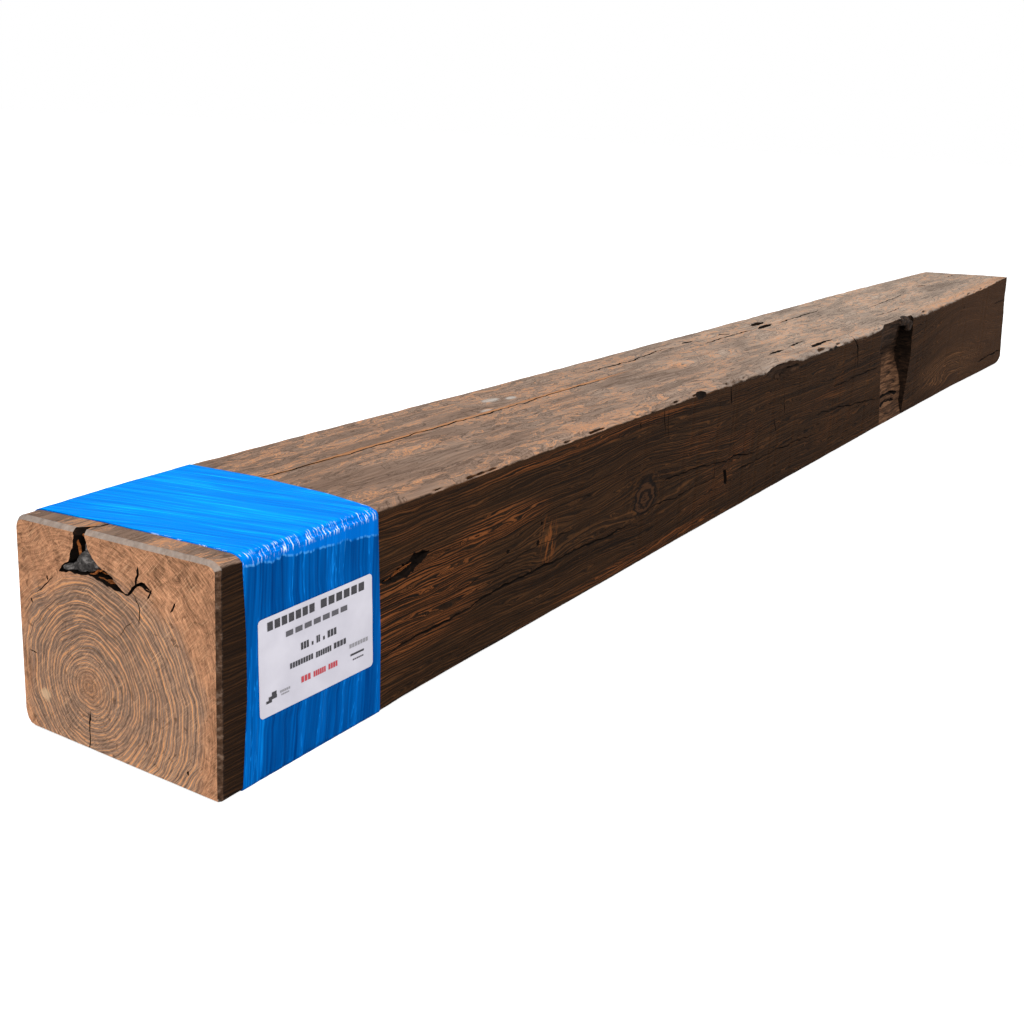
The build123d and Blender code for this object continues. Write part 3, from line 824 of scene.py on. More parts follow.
class Graph:
    """Nodes of one material or world. A colour is three 0 to 255 values, or four linear ones."""

    def __init__(self, owner):
        self.owner = owner
        owner.use_nodes = True
        self.tree = owner.node_tree
        self.tree.nodes.clear()

    def feed(self, socket, value):
        if isinstance(value, Value):
            self.tree.links.new(value.socket, socket)
        elif socket.type == "RGBA" and len(value) == 3:
            socket.default_value = srgb(*value)
        else:
            socket.default_value = value

    def node(self, kind, inputs=(), out=0, **settings):
        """Adds a node, feeds its inputs in their order or by name, and gives one of its outputs."""
        made = self.tree.nodes.new(kind)
        for key, value in settings.items():
            setattr(made, key, value)
        for key, value in inputs.items() if isinstance(inputs, dict) else enumerate(inputs):
            self.feed(made.inputs[key], value)
        return Value(self, made.outputs[out]) if made.outputs else made

    def place(self):
        return self.node("ShaderNodeTexCoord", out="Object")

    def normal(self):
        return self.split(self.node("ShaderNodeNewGeometry", out="Normal"))

    def math(self, operation, *values):
        return self.node("ShaderNodeMath", values, operation=operation)

    def scaled(self, vector, along, across, upward=None):
        factors = (along, across, across if upward is None else upward)
        return self.node("ShaderNodeVectorMath", (vector, factors), operation="MULTIPLY")

    def split(self, vector):
        made = self.tree.nodes.new("ShaderNodeSeparateXYZ")
        self.feed(made.inputs[0], vector)
        return [Value(self, output) for output in made.outputs]

    def combine(self, x, y, z):
        return self.node("ShaderNodeCombineXYZ", (x, y, z))

    def step(self, value, low, high):
        inputs = (value, low, high, 0.0, 1.0)
        return self.node("ShaderNodeMapRange", inputs, interpolation_type="SMOOTHSTEP")

    def length(self, first, second):
        return self.math("SQRT", first * first + second * second)

    def lines(self, value, level, half):
        """1 where a value is close to a level: thin contour lines of a noise."""
        return self.step(abs(value - level), half, half * 0.3)

    def spot(self, first, second, middle, reach):
        """1 inside an ellipse with soft edges."""
        across = (first - middle[0]) / reach[0]
        up = (second - middle[1]) / reach[1]
        return self.step(self.length(across, up), 1.0, 0.55)

    def noise(self, vector, detail, roughness=0.6, distortion=0.0):
        inputs = {
            "Vector": vector, "Scale": 1.0, "Detail": detail, "Roughness": roughness,
            "Distortion": distortion,
        }
        return self.node("ShaderNodeTexNoise", inputs, out="Fac")

    def mix(self, factor, first, second):
        return self.node("ShaderNodeMix", {0: factor, 6: first, 7: second}, out=2, data_type="RGBA")

    def blend(self, factor, first, second):
        return self.node("ShaderNodeMix", {0: factor, 2: first, 3: second}, data_type="FLOAT")

    def ramp(self, factor, *stops):
        made = self.tree.nodes.new("ShaderNodeValToRGB")
        elements = made.color_ramp.elements
        while len(elements) < len(stops):
            elements.new(0.5)
        for element, (place, colour) in zip(elements, stops):
            element.position = place
            element.color = srgb(*colour)
        self.feed(made.inputs[0], factor)
        return Value(self, made.outputs[0])

    def bump(self, height, distance, strength=1.0):
        inputs = {"Strength": strength, "Distance": distance, "Height": height}
        return self.node("ShaderNodeBump", inputs)

    def finish(self, colour, roughness, specular, normal=None):
        """Ends a material with one shader and gives the material."""
        inputs = {"Base Color": colour, "Roughness": roughness, "Specular IOR Level": specular}
        if normal is not None:
            inputs["Normal"] = normal
        shader = self.node("ShaderNodeBsdfPrincipled", inputs)
        self.node("ShaderNodeOutputMaterial", (shader,))
        return self.owner


def new_graph(name):
    """Empty graph of a new material."""
    return Graph(bpy.data.materials.new(name))


# Knots that the grain flows round: distance, height or distance from the front, reach, and
# how much they are drawn out along the beam
FRONT_KNOTS = (
    (0.820, 0.092, 0.040, 0.50),
    (2.445, 0.034, 0.034, 0.28),
    (2.720, 0.100, 0.026, 0.30),
    (0.552, 0.098, 0.022, 0.60),
)
TOP_KNOTS = (
    (0.445, 0.036, 0.024, 0.34),
    (1.170, 0.120, 0.016, 0.30),
    (2.300, 0.150, 0.018, 0.25),
)
# Warm, worn patches on the front: middle and reach along the beam and up
WARM_SPOTS = (
    ((0.285, 0.096), (0.16, 0.064)),
    ((0.450, 0.142), (0.12, 0.022)),
    ((0.700, 0.196), (0.34, 0.010)),
    ((2.500, 0.055), (0.34, 0.050)),
    ((0.840, 0.012), (0.30, 0.010)),
)
# Grey spots on the top: middle and reach along the beam and in from the front
PALE_SPOTS = (
    ((0.712, 0.190), (0.022, 0.010)),
    ((0.745, 0.178), (0.014, 0.007)),
    ((0.655, 0.161), (0.016, 0.005)),
)


def grain_across(along, across, knots):
    """Place across the grain as the grain counts it: it bends round the knots."""
    flow = across
    for distance, level, reach, stretch in knots:
        dx = (along - distance) * stretch
        dz = across - level
        squared = dx * dx + dz * dz
        pull = reach * reach / (squared + reach * reach)
        flow = flow - dz * pull * 0.85
    return flow


def end_grain(g, place, y, z, cloud, speck):
    """Colour and height of an end: thin rings round the pith inside a mottled outer zone."""
    from_y = y - pith_y
    from_z = z - pith_z
    radius = g.length(from_y, from_z)
    ray_y = from_y / g.math("MAXIMUM", radius, 0.001)
    ray_z = from_z / g.math("MAXIMUM", radius, 0.001)
    broad = (g.noise(g.scaled(place, 2.0, 15.0), 2.0, 0.5) - 0.5) * 0.022
    small = (g.noise(g.scaled(place, 9.0, 110.0), 3.0) - 0.5) * 0.0016
    ring = radius + (broad + small) * g.step(radius, 0.0, 0.05)
    pace = g.noise(g.combine(ring * 46.0, ray_y * 0.3, ray_z * 0.3), 3.0, 0.6)
    swell = g.math("SINE", ring * 1420.0 + pace * 22.0)
    thin = g.math("SINE", ring * 3400.0 + pace * 40.0)
    bands = g.noise(g.combine(ring * 190.0, ray_y * 2.0, ray_z * 2.0), 4.0, 0.6)
    fine = g.noise(g.combine(ring * 1000.0, ray_y * 14.0, ray_z * 14.0), 4.0, 0.7)

    heart = g.ramp(
        fine * 0.6 + bands * 0.4,
        (0.36, (112, 91, 79)), (0.50, (157, 129, 110)), (0.64, (190, 154, 129)),
    )
    upwards = ray_z * 0.5 + ray_y * -0.1
    smoky = g.step(radius, 0.024, 0.05) * g.step(radius, 0.130, 0.080)
    smoky = smoky * g.step(upwards + cloud, 0.25, 0.95)
    heart = g.mix(smoky * 0.45, heart, (112, 94, 84))
    heart = g.mix(g.step(swell, -0.55, -0.95) * 0.58, heart, (92, 70, 58))
    shown = g.step(bands + fine * 0.5, 0.66, 0.86)
    line = g.math("MAXIMUM", g.step(swell, 0.58, 0.97), g.step(thin, 0.45, 0.95) * 0.6)
    heart = g.mix(line * (shown * 0.80 + 0.20), heart, (238, 168, 114))
    heart = g.mix(g.step(radius, 0.026, 0.008) * 0.25, heart, (196, 134, 90))

    patches = g.noise(g.scaled(place, 20.0, 56.0), 6.0, 0.76, 1.1)
    outer = g.ramp(
        fine * 0.30 + patches * 0.70,
        (0.36, (104, 74, 54)), (0.46, (158, 113, 84)), (0.56, (203, 146, 109)),
        (0.68, (246, 186, 142)),
    )
    outer = g.mix(g.step(swell, 0.3, 0.9) * 0.28, outer, (220, 160, 118))
    boundary = 0.114 - ray_y * 0.026
    beyond = radius + (cloud - 0.5) * 0.06 - boundary
    colour = g.mix(g.step(beyond, -0.012, 0.012), heart, outer)
    colour = g.mix(g.step(speck, 0.60, 0.70) * 0.62, colour, (84, 57, 43))
    diagonal = g.combine((from_y + from_z) * 900.0, (from_y - from_z) * 26.0, 0.0)
    strokes = g.noise(diagonal, 3.0, 0.6)
    colour = g.mix(g.step(strokes, 0.57, 0.66) * 0.50, colour, (236, 186, 144))
    colour = g.mix(g.step(strokes, 0.42, 0.35) * 0.35, colour, (104, 76, 60))
    pale = g.length((y - (front_y + 0.222)) * 0.72, z - 0.037)
    pale = g.step(pale + speck * 0.012, 0.0128, 0.0092)
    colour = g.mix(pale * (patches * 0.9 + 0.3), colour, (226, 190, 152))
    return colour, swell * 0.10 + (bands * 0.4 + fine * 0.6)


def top_grain(g, place, x, distance, inward, cloud, speck):
    """Colour and height of the top: streaks along the beam, wavy figure and orange lines."""
    bend = g.noise(g.scaled(place, 4.0, 16.0), 3.0, 0.55)
    across = grain_across(distance, inward, TOP_KNOTS) + (bend - 0.5) * 0.034
    fibre = g.noise(g.combine(x * 7.0, across * 420.0, 0.0), 5.0, 0.72, 0.3)
    swirl = g.noise(g.combine(x * 14.0, across * 58.0, 4.0), 5.0, 0.60, 1.5)
    patch = g.noise(g.combine(x * 3.2, across * 20.0, 9.0), 4.0, 0.62, 0.5)
    tone = fibre * 0.55 + patch * 0.45
    warm_top = g.ramp(
        tone, (0.36, (106, 83, 69)), (0.47, (126, 101, 85)), (0.55, (138, 112, 95)),
        (0.68, (158, 127, 106)),
    )
    grey_top = g.ramp(
        tone, (0.36, (118, 102, 90)), (0.47, (160, 142, 127)), (0.55, (182, 162, 145)),
        (0.68, (214, 192, 173)),
    )
    grey_share = g.step(distance + (cloud - 0.5) * 1.4, 0.0, 2.3)
    colour = g.mix(grey_share * 0.90 + 0.06, warm_top, grey_top)
    dark = g.math("MAXIMUM", g.lines(swirl, 0.455, 0.022), g.lines(fibre, 0.40, 0.014))
    dark = g.math("MAXIMUM", dark, g.lines(swirl, 0.39, 0.014) * 0.7)
    colour = g.mix(dark * 0.70, colour, (76, 59, 49))
    orange = g.math("MAXIMUM", g.lines(swirl, 0.535, 0.024), g.lines(swirl, 0.61, 0.016))
    orange = orange * g.step(patch, 0.42, 0.54)
    colour = g.mix(orange * 0.80, colour, (206, 146, 102))
    glow = g.step(patch, 0.56, 0.70) * g.step(fibre, 0.42, 0.60) * (1.0 - grey_share * 0.6)
    colour = g.mix(glow * 0.42, colour, (182, 124, 84))
    colour = g.mix(g.step(speck, 0.66, 0.74) * 0.6, colour, (66, 50, 42))
    past = g.step(distance, 2.10, 2.25)
    band = past * g.step(inward + swirl * 0.03, 0.050, 0.034)
    colour = g.mix(band * g.step(fibre, 0.40, 0.60) * 0.7, colour, (196, 140, 98))
    for middle, reach in PALE_SPOTS:
        spot = g.spot(distance, inward, middle, reach) * g.step(fibre, 0.38, 0.52)
        colour = g.mix(spot * 0.85, colour, (188, 180, 172))
    line = 0.1535 + g.step(distance, 0.30, 0.05) * 0.012
    beside = abs(inward + (swirl - 0.5) * 0.010 - line)
    beside = g.step(beside, 0.0040, 0.0018) * g.step(distance, 1.08, 0.95)
    colour = g.mix(beside * 0.7, colour, (186, 126, 80))
    bruise = g.noise(g.scaled(place, 22.0, 70.0), 4.0, 0.65)
    edge = g.step(inward + bruise * 0.03, 0.034, 0.022) * g.step(distance, 1.25, 1.50)
    edge = edge * g.step(distance, 1.86, 1.70)
    colour = g.mix(edge * 0.55, colour, g.mix(bruise, (104, 92, 82), (190, 178, 168)))
    return colour, fibre * 0.8 + swirl * 1.2


def side_grain(g, place, x, y, nz, distance, height):
    """Colour and height of the front, back and underside: dark, with lines that flow round knots."""
    flow = grain_across(distance, height, FRONT_KNOTS)
    arch = g.step(distance, 2.10, 2.55) * g.step(distance, 3.00, 2.60) * 0.034
    flow = flow - arch
    flow = flow + y * g.step(nz, 0.2, 0.0) * 0.35
    wobble = g.noise(g.scaled(place, 3.0, 20.0), 3.0, 0.55)
    wiggle = g.noise(g.scaled(place, 24.0, 130.0), 3.0, 0.6)
    flow = flow + ((wobble - 0.5) * 0.024 + (wiggle - 0.5) * 0.0030)
    grain = g.noise(g.combine(x * 2.6, flow * 640.0, 0.0), 5.0, 0.74)
    lane = g.noise(g.combine(x * 1.8, flow * 90.0, 7.0), 4.0, 0.6)
    pores = g.noise(g.scaled(place, 34.0, 760.0), 3.0, 0.7)
    glow = g.noise(g.scaled(place, 3.6, 13.0), 4.0, 0.6, 0.6)
    ridge = g.math("SINE", flow * 2050.0 + lane * 26.0)
    colour = g.ramp(
        grain * 0.62 + lane * 0.38,
        (0.38, (25, 15, 8)), (0.48, (43, 27, 14)), (0.56, (56, 36, 20)), (0.68, (84, 55, 31)),
    )
    raised = g.step(ridge, 0.35, 0.95) * g.step(grain, 0.40, 0.56) * 0.50
    colour = g.mix(raised, colour, (98, 62, 34))
    colour = g.mix(g.step(ridge, -0.50, -0.95) * 0.62, colour, (20, 13, 9))
    zone = g.step(glow, 0.54, 0.70) * 0.30
    for middle, reach in WARM_SPOTS:
        zone = g.math("MAXIMUM", zone, g.spot(distance, height, middle, reach))
    warm = zone * g.step(grain + ridge * 0.07, 0.47, 0.62) * (glow * 1.2 - 0.04)
    tint = g.mix(g.step(distance, 1.4, 2.2), (146, 82, 40), (132, 90, 56))
    colour = g.mix(g.math("MINIMUM", warm, 0.80), colour, tint)
    flame = g.noise(g.combine((x - height * 0.25) * 170.0, height * 34.0, 5.0), 3.0, 0.6)
    flame = g.step(flame, 0.50, 0.60) * g.spot(distance, height, (0.556, 0.098), (0.026, 0.036))
    colour = g.mix(flame * 0.45, colour, (150, 86, 42))
    colour = g.mix(g.step(pores, 0.56, 0.76) * 0.55, colour, (24, 16, 11))
    saw = g.noise(g.combine(x * 150.0, height * 3.0, 3.0), 3.0, 0.6)
    saw = g.step(saw, 0.54, 0.70) * g.step(distance, 0.25, 0.9) * 0.38
    colour = g.mix(saw, colour, (32, 22, 16))
    colour = g.mix(g.step(distance, 2.1, 2.7) * 0.40, colour, (82, 56, 38))

    # The big knot
    out_x = (distance - KNOT[0]) / 0.030
    out_z = (height - KNOT[1]) / 0.024
    out = g.length(out_x, out_z) + (wiggle - 0.5) * 0.9
    swirl = g.math("SINE", out * 13.0 + grain * 9.0)
    knot = g.mix(g.step(swirl, -0.3, 0.7), (22, 14, 10), (68, 44, 28))
    colour = g.mix(g.step(out, 1.15, 0.85) * 0.85, colour, knot)
    colour = g.mix(g.lines(out, 1.00, 0.11) * 0.8, colour, (18, 12, 9))
    colour = g.mix(g.lines(out, 1.42, 0.07) * 0.22, colour, (84, 54, 33))
    return colour, ridge * 0.10 + (grain + (lane * 0.5 + pores * -0.25))


def wood_material():
    """Old cypress: one solid pattern with a look of its own on the ends, the top and the other faces."""
    g = new_graph("old_cypress")
    place = g.place()
    nx, ny, nz = g.normal()
    x, y, z = g.split(place)
    distance = x - near_x
    height = z - bed_z
    inward = y - front_y
    end = g.step(abs(nx), 0.55, 0.85)
    top = g.step(nz, 0.45, 0.80)
    cloud = g.noise(g.scaled(place, 8.0, 17.0), 5.0, 0.6, 0.4)
    speck = g.noise(g.scaled(place, 60.0, 130.0), 3.0, 0.6, 0.8)
    end_colour, end_height = end_grain(g, place, y, z, cloud, speck)
    top_colour, top_height = top_grain(g, place, x, distance, inward, cloud, speck)
    side_colour, side_height = side_grain(g, place, x, y, nz, distance, height)
    shaded = g.step(distance, 0.034, 0.028) * (1.0 - top) * 0.35
    side_colour = g.mix(shaded, side_colour, (26, 16, 11))
    colour = g.mix(end, g.mix(top, side_colour, top_colour), end_colour)

    # Pale, bruised arrises
    bruise = g.noise(g.scaled(place, 60.0, 150.0), 4.0, 0.65)
    band = distance - inward * (near_end_skew / beam_width)
    lip = g.step(abs(nx), 0.95, 0.86) * g.step(band, 0.0056, 0.0040)
    lip = lip * g.step(nz, -0.5, -0.1)
    lip_colour = g.mix(bruise, (84, 70, 60), (190, 178, 168))
    low_lip = g.ramp(bruise, (0.40, (24, 17, 13)), (0.52, (58, 44, 35)), (0.66, (112, 92, 78)))
    lip_colour = g.mix(g.step(nz, 0.15, 0.5), low_lip, lip_colour)
    colour = g.mix(lip * 0.85, colour, lip_colour)
    largest = g.math("MAXIMUM", abs(ny), abs(nz))
    turned = g.step(g.math("MAXIMUM", largest, abs(nx)), 0.965, 0.86)
    arris = turned * g.step(nz, 0.1, 0.4) * g.step(bruise, 0.42, 0.62) * g.step(distance, 0.2, 0.3)
    grey = g.mix(g.step(distance, 0.6, 1.4), (138, 112, 94), (154, 142, 132))
    colour = g.mix(arris * 0.55, colour, grey)

    height = g.blend(end, g.blend(top, side_height, top_height), end_height)
    return g.finish(colour, 0.8, WOOD_SPECULAR, g.bump(height, 0.0022, 0.9))


def dark_material():
    """Inside of the checks and the rotted hollow: dark wood, painted near black as shade in these
    recesses.
    """
    g = new_graph("check_inside")
    place = g.place()
    grain = g.noise(g.scaled(place, 14.0, 190.0), 5.0, 0.7, 0.4)
    # Painted shade: the ramp runs near black, for the shadow down in the checks and the hollow.
    colour = g.ramp(grain, (0.3, (8, 5, 4)), (0.58, (24, 16, 11)), (0.8, (66, 42, 27)))
    return g.finish(colour, 0.9, 0.1, g.bump(grain, 0.002))


def hewn_material():
    """Walls and floor of the joist housing: brown where it is low, with painted shade that darkens its
    upper part under the shoulder and its end walls.
    """
    g = new_graph("hewn_housing")
    place = g.place()
    nx = g.normal()[0]
    z = g.split(place)[2]
    strokes = g.noise(g.scaled(place, 14.0, 60.0, 210.0), 5.0, 0.68, 0.7)
    cloud = g.noise(g.scaled(place, 26.0, 30.0, 26.0), 3.0, 0.5)
    brown = g.ramp(strokes, (0.36, (28, 19, 13)), (0.50, (80, 56, 40)), (0.64, (120, 86, 62)))
    # Painted shade: a darker copy of the same hewn strokes.
    dark = g.ramp(strokes, (0.36, (12, 8, 6)), (0.55, (30, 21, 15)), (0.75, (62, 43, 31)))
    # Painted shadow under the shoulder: the upper part of the scoop takes the darker copy.
    deep = g.step(z + cloud * 0.04, 0.120, 0.165)
    colour = g.mix(deep * 0.8, brown, dark)
    # Painted shade on the end walls, which face along the beam.
    wall_shade = g.step(abs(nx), 0.4, 0.7) * 0.9
    return g.finish(g.mix(wall_shade, colour, dark), 0.85, WOOD_SPECULAR, g.bump(strokes, 0.003))


def film_material():
    """Blue stretch film: painted bright on the flat top as lit and deeper down the sides as shaded, with
    painted white glints under the top front arris.
    """
    g = new_graph("blue_film")
    place = g.place()
    nz = g.normal()[2]
    x, y, z = g.split(place)
    distance = x - near_x
    top = g.step(nz, 0.35, 0.9)
    drift = g.noise(g.combine(x * 12.0, y * 5.0, z * 5.0), 2.0, 0.5)
    lean = x + y * 0.20 + (z * -0.05 + drift * 0.02)
    thread = g.noise(g.combine(lean * 330.0, y * 6.0, z * 6.0), 3.0, 0.6)
    crease = g.noise(g.combine(lean * 90.0, y * 4.0, z * 4.0), 4.0, 0.6)
    fine = g.noise(g.combine(lean * 700.0, y * 9.0, z * 9.0), 2.0, 0.5)
    # Painted light and shade: the top ramp is a lit copy of the film's blue and the side ramp a shaded
    # copy; the line colour below differs between them the same way.
    flat = g.ramp(
        thread * 0.55 + crease * 0.45,
        (0.40, (0, 118, 222)), (0.50, (0, 134, 234)), (0.60, (0, 156, 238)), (0.68, (20, 190, 244)),
    )
    side = g.ramp(
        crease * 0.6 + thread * 0.4,
        (0.36, (0, 56, 120)), (0.50, (0, 79, 151)), (0.60, (0, 96, 180)), (0.70, (10, 140, 228)),
    )
    colour = g.mix(top, side, flat)
    streak = g.lines(crease, 0.58, 0.010) * (1.0 - top)
    colour = g.mix(streak * 0.5, colour, (20, 140, 236))
    cyan = top * g.step(fine, 0.56, 0.66) * g.step(thread, 0.44, 0.58)
    colour = g.mix(cyan * 0.75, colour, (10, 196, 250))
    line = g.step(fine, 0.68, 0.76) * g.step(crease, 0.5, 0.60)
    colour = g.mix(line * 0.6, colour, g.mix(top, (70, 170, 244), (60, 210, 250)))
    ruffle = g.noise(g.combine(x * 60.0, 0.0, 0.0), 2.0, 0.5) * 0.014
    limit = bed_z + 0.2075 - (distance - 0.03) * 0.086
    below = z - limit + ruffle
    side_only = g.step(nz, 0.985, 0.90) * g.step(y, 0.0, -0.05)
    fold = g.step(below, 0.0, 0.004) * side_only
    colour = g.mix(fold * 0.6, colour, (0, 118, 224))
    hem = g.lines(below, 0.002, 0.0016) * side_only * g.step(thread, 0.42, 0.52)
    colour = g.mix(hem * 0.4, colour, (90, 176, 242))
    # Painted highlights: white glint strokes just under the top front arris.
    glint_strokes = g.noise(g.combine(x * 620.0, y * 70.0, z * 70.0), 3.0, 0.7)
    glint = g.step(z, bed_z + 0.2000, bed_z + 0.2050) * side_only * g.step(glint_strokes, 0.56, 0.63)
    colour = g.mix(glint * 0.9, colour, (222, 236, 252))
    height = thread + crease * 1.6 + fine * 0.3
    return g.finish(colour, g.blend(top, 0.30, 0.45), FILM_SPECULAR, g.bump(height, 0.0011, 0.7))


def label_material():
    """Coated white card."""
    g = new_graph("white_card")
    place = g.place()
    cloud = g.noise(g.scaled(place, 26.0, 26.0), 3.0, 0.5)
    colour = g.ramp(cloud, (0.3, (194, 191, 201)), (0.7, (208, 205, 214)))
    return g.finish(colour, 0.5, 0.2, g.bump(cloud, 0.001, 0.3))


def ink_material(name, colour):
    """Printed bar on the card."""
    g = new_graph(name)
    place = g.place()
    spread = g.noise(g.scaled(place, 900.0, 900.0), 2.0, 0.5)
    worn = g.mix(spread * 0.3, colour, (150, 148, 156))
    return g.finish(worn, 0.6, 0.1)


def char_material(name, low, middle, high):
    """Dark, broken lumps of heartwood or knot."""
    g = new_graph(name)
    place = g.place()
    patch = g.noise(g.scaled(place, 160.0, 160.0), 5.0, 0.7, 0.5)
    colour = g.ramp(patch, (0.3, low), (0.52, middle), (0.7, high))
    return g.finish(colour, 0.7, 0.1, g.bump(patch, 0.0015))


def torn_material():
    """Bright splinters of torn wood."""
    g = new_graph("torn_fibre")
    place = g.place()
    fibre = g.noise(g.scaled(place, 60.0, 500.0), 4.0, 0.7)
    colour = g.ramp(fibre, (0.3, (92, 50, 24)), (0.55, (168, 98, 48)), (0.8, (214, 142, 84)))
    return g.finish(colour, 0.8, 0.2, g.bump(fibre, 0.001))


def lumps(name, places, material, seed):
    """Angular lumps as one piece: each place has a centre and a size."""
    shape = bmesh.new()
    for index, (center, size) in enumerate(places):
        before = len(shape.verts)
        bmesh.ops.create_icosphere(shape, subdivisions=3, radius=1.0)
        shape.verts.ensure_lookup_table()
        made = shape.verts[before:]
        unit = np.array([tuple(v.co) for v in made])
        blocks = noise(unit + index * 7.3, (1.6, 1.6, 1.6), seed + index, 3)
        facets = np.round(noise(unit - index * 3.1, (2.2, 2.2, 2.2), seed + 50 + index, 1) * 5) / 5
        scale = 0.55 + 0.55 * blocks + 0.25 * facets
        for vert, direction, reach in zip(made, unit, scale):
            vert.co = Vector(center) + Vector(direction * np.asarray(size) * reach)
    mesh = bpy.data.meshes.new(name)
    shape.to_mesh(mesh)
    shape.free()
    piece = placed(name, mesh, [material])
    sharpen(piece, 22)
    return piece


def splinters(name, lines, material, seed):
    """Thin tapering slivers from point to point, as one piece."""
    random = np.random.default_rng(seed)
    verts = []
    faces = []
    for start, finish, width in lines:
        start = np.asarray(start, float)
        finish = np.asarray(finish, float)
        run = finish - start
        side = np.cross(run, (0.3, 0.2, 1.0))
        side /= np.linalg.norm(side)
        up = np.cross(side, run)
        up /= np.linalg.norm(up)
        base = len(verts)
        rows = 7
        for row in range(rows):
            share = row / (rows - 1)
            bow = np.sin(np.pi * share) * random.uniform(-0.4, 0.4) * width
            size = width / 2 * (0.25 + 0.75 * np.sin(np.pi * (0.12 + 0.8 * share)))
            middle = start + run * share + up * bow
            for corner in range(4):
                angle = math.pi / 2 * corner + 0.4
                offset = side * math.cos(angle) + up * math.sin(angle) * 0.5
                verts.append(middle + offset * size * random.uniform(0.75, 1.2))
        faces += ring_faces(rows - 1, 4, start=base)
        faces.append((base + 3, base + 2, base + 1, base))
        last = base + (rows - 1) * 4
        faces.append((last, last + 1, last + 2, last + 3))
    piece = mesh_object(name, verts, faces, material)
    turn_outwards(piece)
    sharpen(piece, 30)
    return piece


def dress_timber():
    """The whole timber, in place of its CAD solid."""
    materials = (wood_material(), dark_material(), hewn_material())
    timber = build_skin(materials)
    turn_outwards(timber)
    cut(timber, unit_box(30, scoop_shape, "scoop_cutter", materials, HEWN))
    cut(timber, unit_box(24, shoulder_shape, "shoulder_cutter", materials, HEWN))
    cut_worn_corner(timber, materials)
    cut_hollow(timber, materials)
    cut_checks(timber, materials)
    sharpen(timber, 35)
    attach(timber, "root")
    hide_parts("beam")

    char = lumps("charred_heart", [
        (on_end(0.166, 0.1770, 0.011), (0.010, 0.0095, 0.0090)),
        (on_end(0.159, 0.1745, 0.008), (0.007, 0.0070, 0.0060)),
        (on_end(0.171, 0.1715, 0.007), (0.007, 0.0070, 0.0055)),
        (on_end(0.165, 0.1880, 0.015), (0.008, 0.0065, 0.0065)),
        (on_end(0.152, 0.1765, 0.012), (0.008, 0.0060, 0.0055)),
        (on_end(0.184, 0.1680, 0.005), (0.006, 0.0065, 0.0035)),
    ], char_material("charred_heart", (22, 20, 20), (84, 80, 78), (166, 160, 156)), 500)
    torn = torn_material()
    heart = splinters("heart_splinters", [
        (on_end(0.156, 0.1685, 0.003), on_end(0.142, 0.1745, 0.008), 0.0042),
        (on_end(0.150, 0.1660, 0.006), on_end(0.119, 0.1640, 0.010), 0.0036),
        (on_end(0.147, 0.1705, 0.009), on_end(0.122, 0.1670, 0.012), 0.0034),
        (on_end(0.144, 0.1745, 0.011), on_end(0.128, 0.1700, 0.010), 0.0028),
        (on_end(0.175, 0.196, 0.006), on_end(0.174, 0.172, 0.010), 0.0030),
        (on_end(0.172, 0.199, 0.010), on_end(0.162, 0.202, 0.004), 0.0026),
        (on_end(0.137, 0.1665, 0.006), on_end(0.121, 0.1655, 0.012), 0.0026),
    ], torn, 510)
    fibres = []
    random = np.random.default_rng(520)
    for _ in range(9):
        distance = random.uniform(0.226, 0.262)
        height = np.interp(distance, (0.22, 0.25, 0.30), (0.134, 0.135, 0.140))
        height += random.uniform(-0.003, 0.004)
        reach = random.uniform(0.014, 0.030)
        deep = random.uniform(0.003, 0.009)
        start = on_front(distance, height, deep)
        finish = on_front(distance + reach, height + reach * random.uniform(0.15, 0.3), deep - 0.002)
        fibres.append((start, finish, random.uniform(0.0012, 0.0026)))
    pocket = splinters("pocket_fibres", fibres, torn, 530)
    knot = lumps("housing_knot", [
        (on_front(2.058, 0.2045, 0.013), (0.040, 0.013, 0.010)),
        (on_front(2.082, 0.2020, 0.016), (0.026, 0.013, 0.010)),
        (on_front(2.094, 0.1930, 0.010), (0.014, 0.010, 0.013)),
    ], char_material("knot_wood", (14, 10, 8), (38, 27, 20), (86, 63, 47)), 540)
    for piece in (char, heart, pocket, knot):
        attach(piece, "root")


FILM_STEPS = (90, 16, 84, 6, 26)
# Distances of the film's near and far edge, on the front by height and on the top from the front
FILM_FRONT = (
    (0.0, 0.028, 0.2255), (0.084, 0.034, 0.2235), (0.139, 0.0335, 0.2195), (0.205, 0.029, 0.2150),
)
FILM_TOP = (
    (0.012, 0.0285, 0.2135), (0.067, 0.0310, 0.2225), (0.162, 0.0320, 0.2255), (0.242, 0.0300, 0.2175),
)


def film_edges(ring):
    """Distances of the film's two edges at each point round the beam."""
    y = ring[0, :, 0] - front_y
    z = ring[0, :, 1] - bed_z
    near = np.zeros_like(y)
    far = np.zeros_like(y)
    front, arris, top = FILM_STEPS[:3]
    first = front + arris // 2
    second = first + arris // 2 + top
    for column, edge in ((1, near), (2, far)):
        on_side = np.interp(z, [row[0] for row in FILM_FRONT], [row[column] for row in FILM_FRONT])
        over = np.interp(y, [row[0] for row in FILM_TOP], [row[column] for row in FILM_TOP])
        edge[:first] = on_side[:first]
        edge[first:second] = over[first:second]
        share = np.linspace(0, 1, len(y) - second)
        edge[second:] = over[second] + (on_side[0] - over[second]) * share
    return near, far


def near_label(distance, z):
    """1 under the label card, fading out round it."""
    along = smooth(0.034, 0.046, distance) * smooth(0.223, 0.211, distance)
    return along * smooth(bed_z + 0.044, bed_z + 0.055, z) * smooth(bed_z + 0.163, bed_z + 0.151, z)


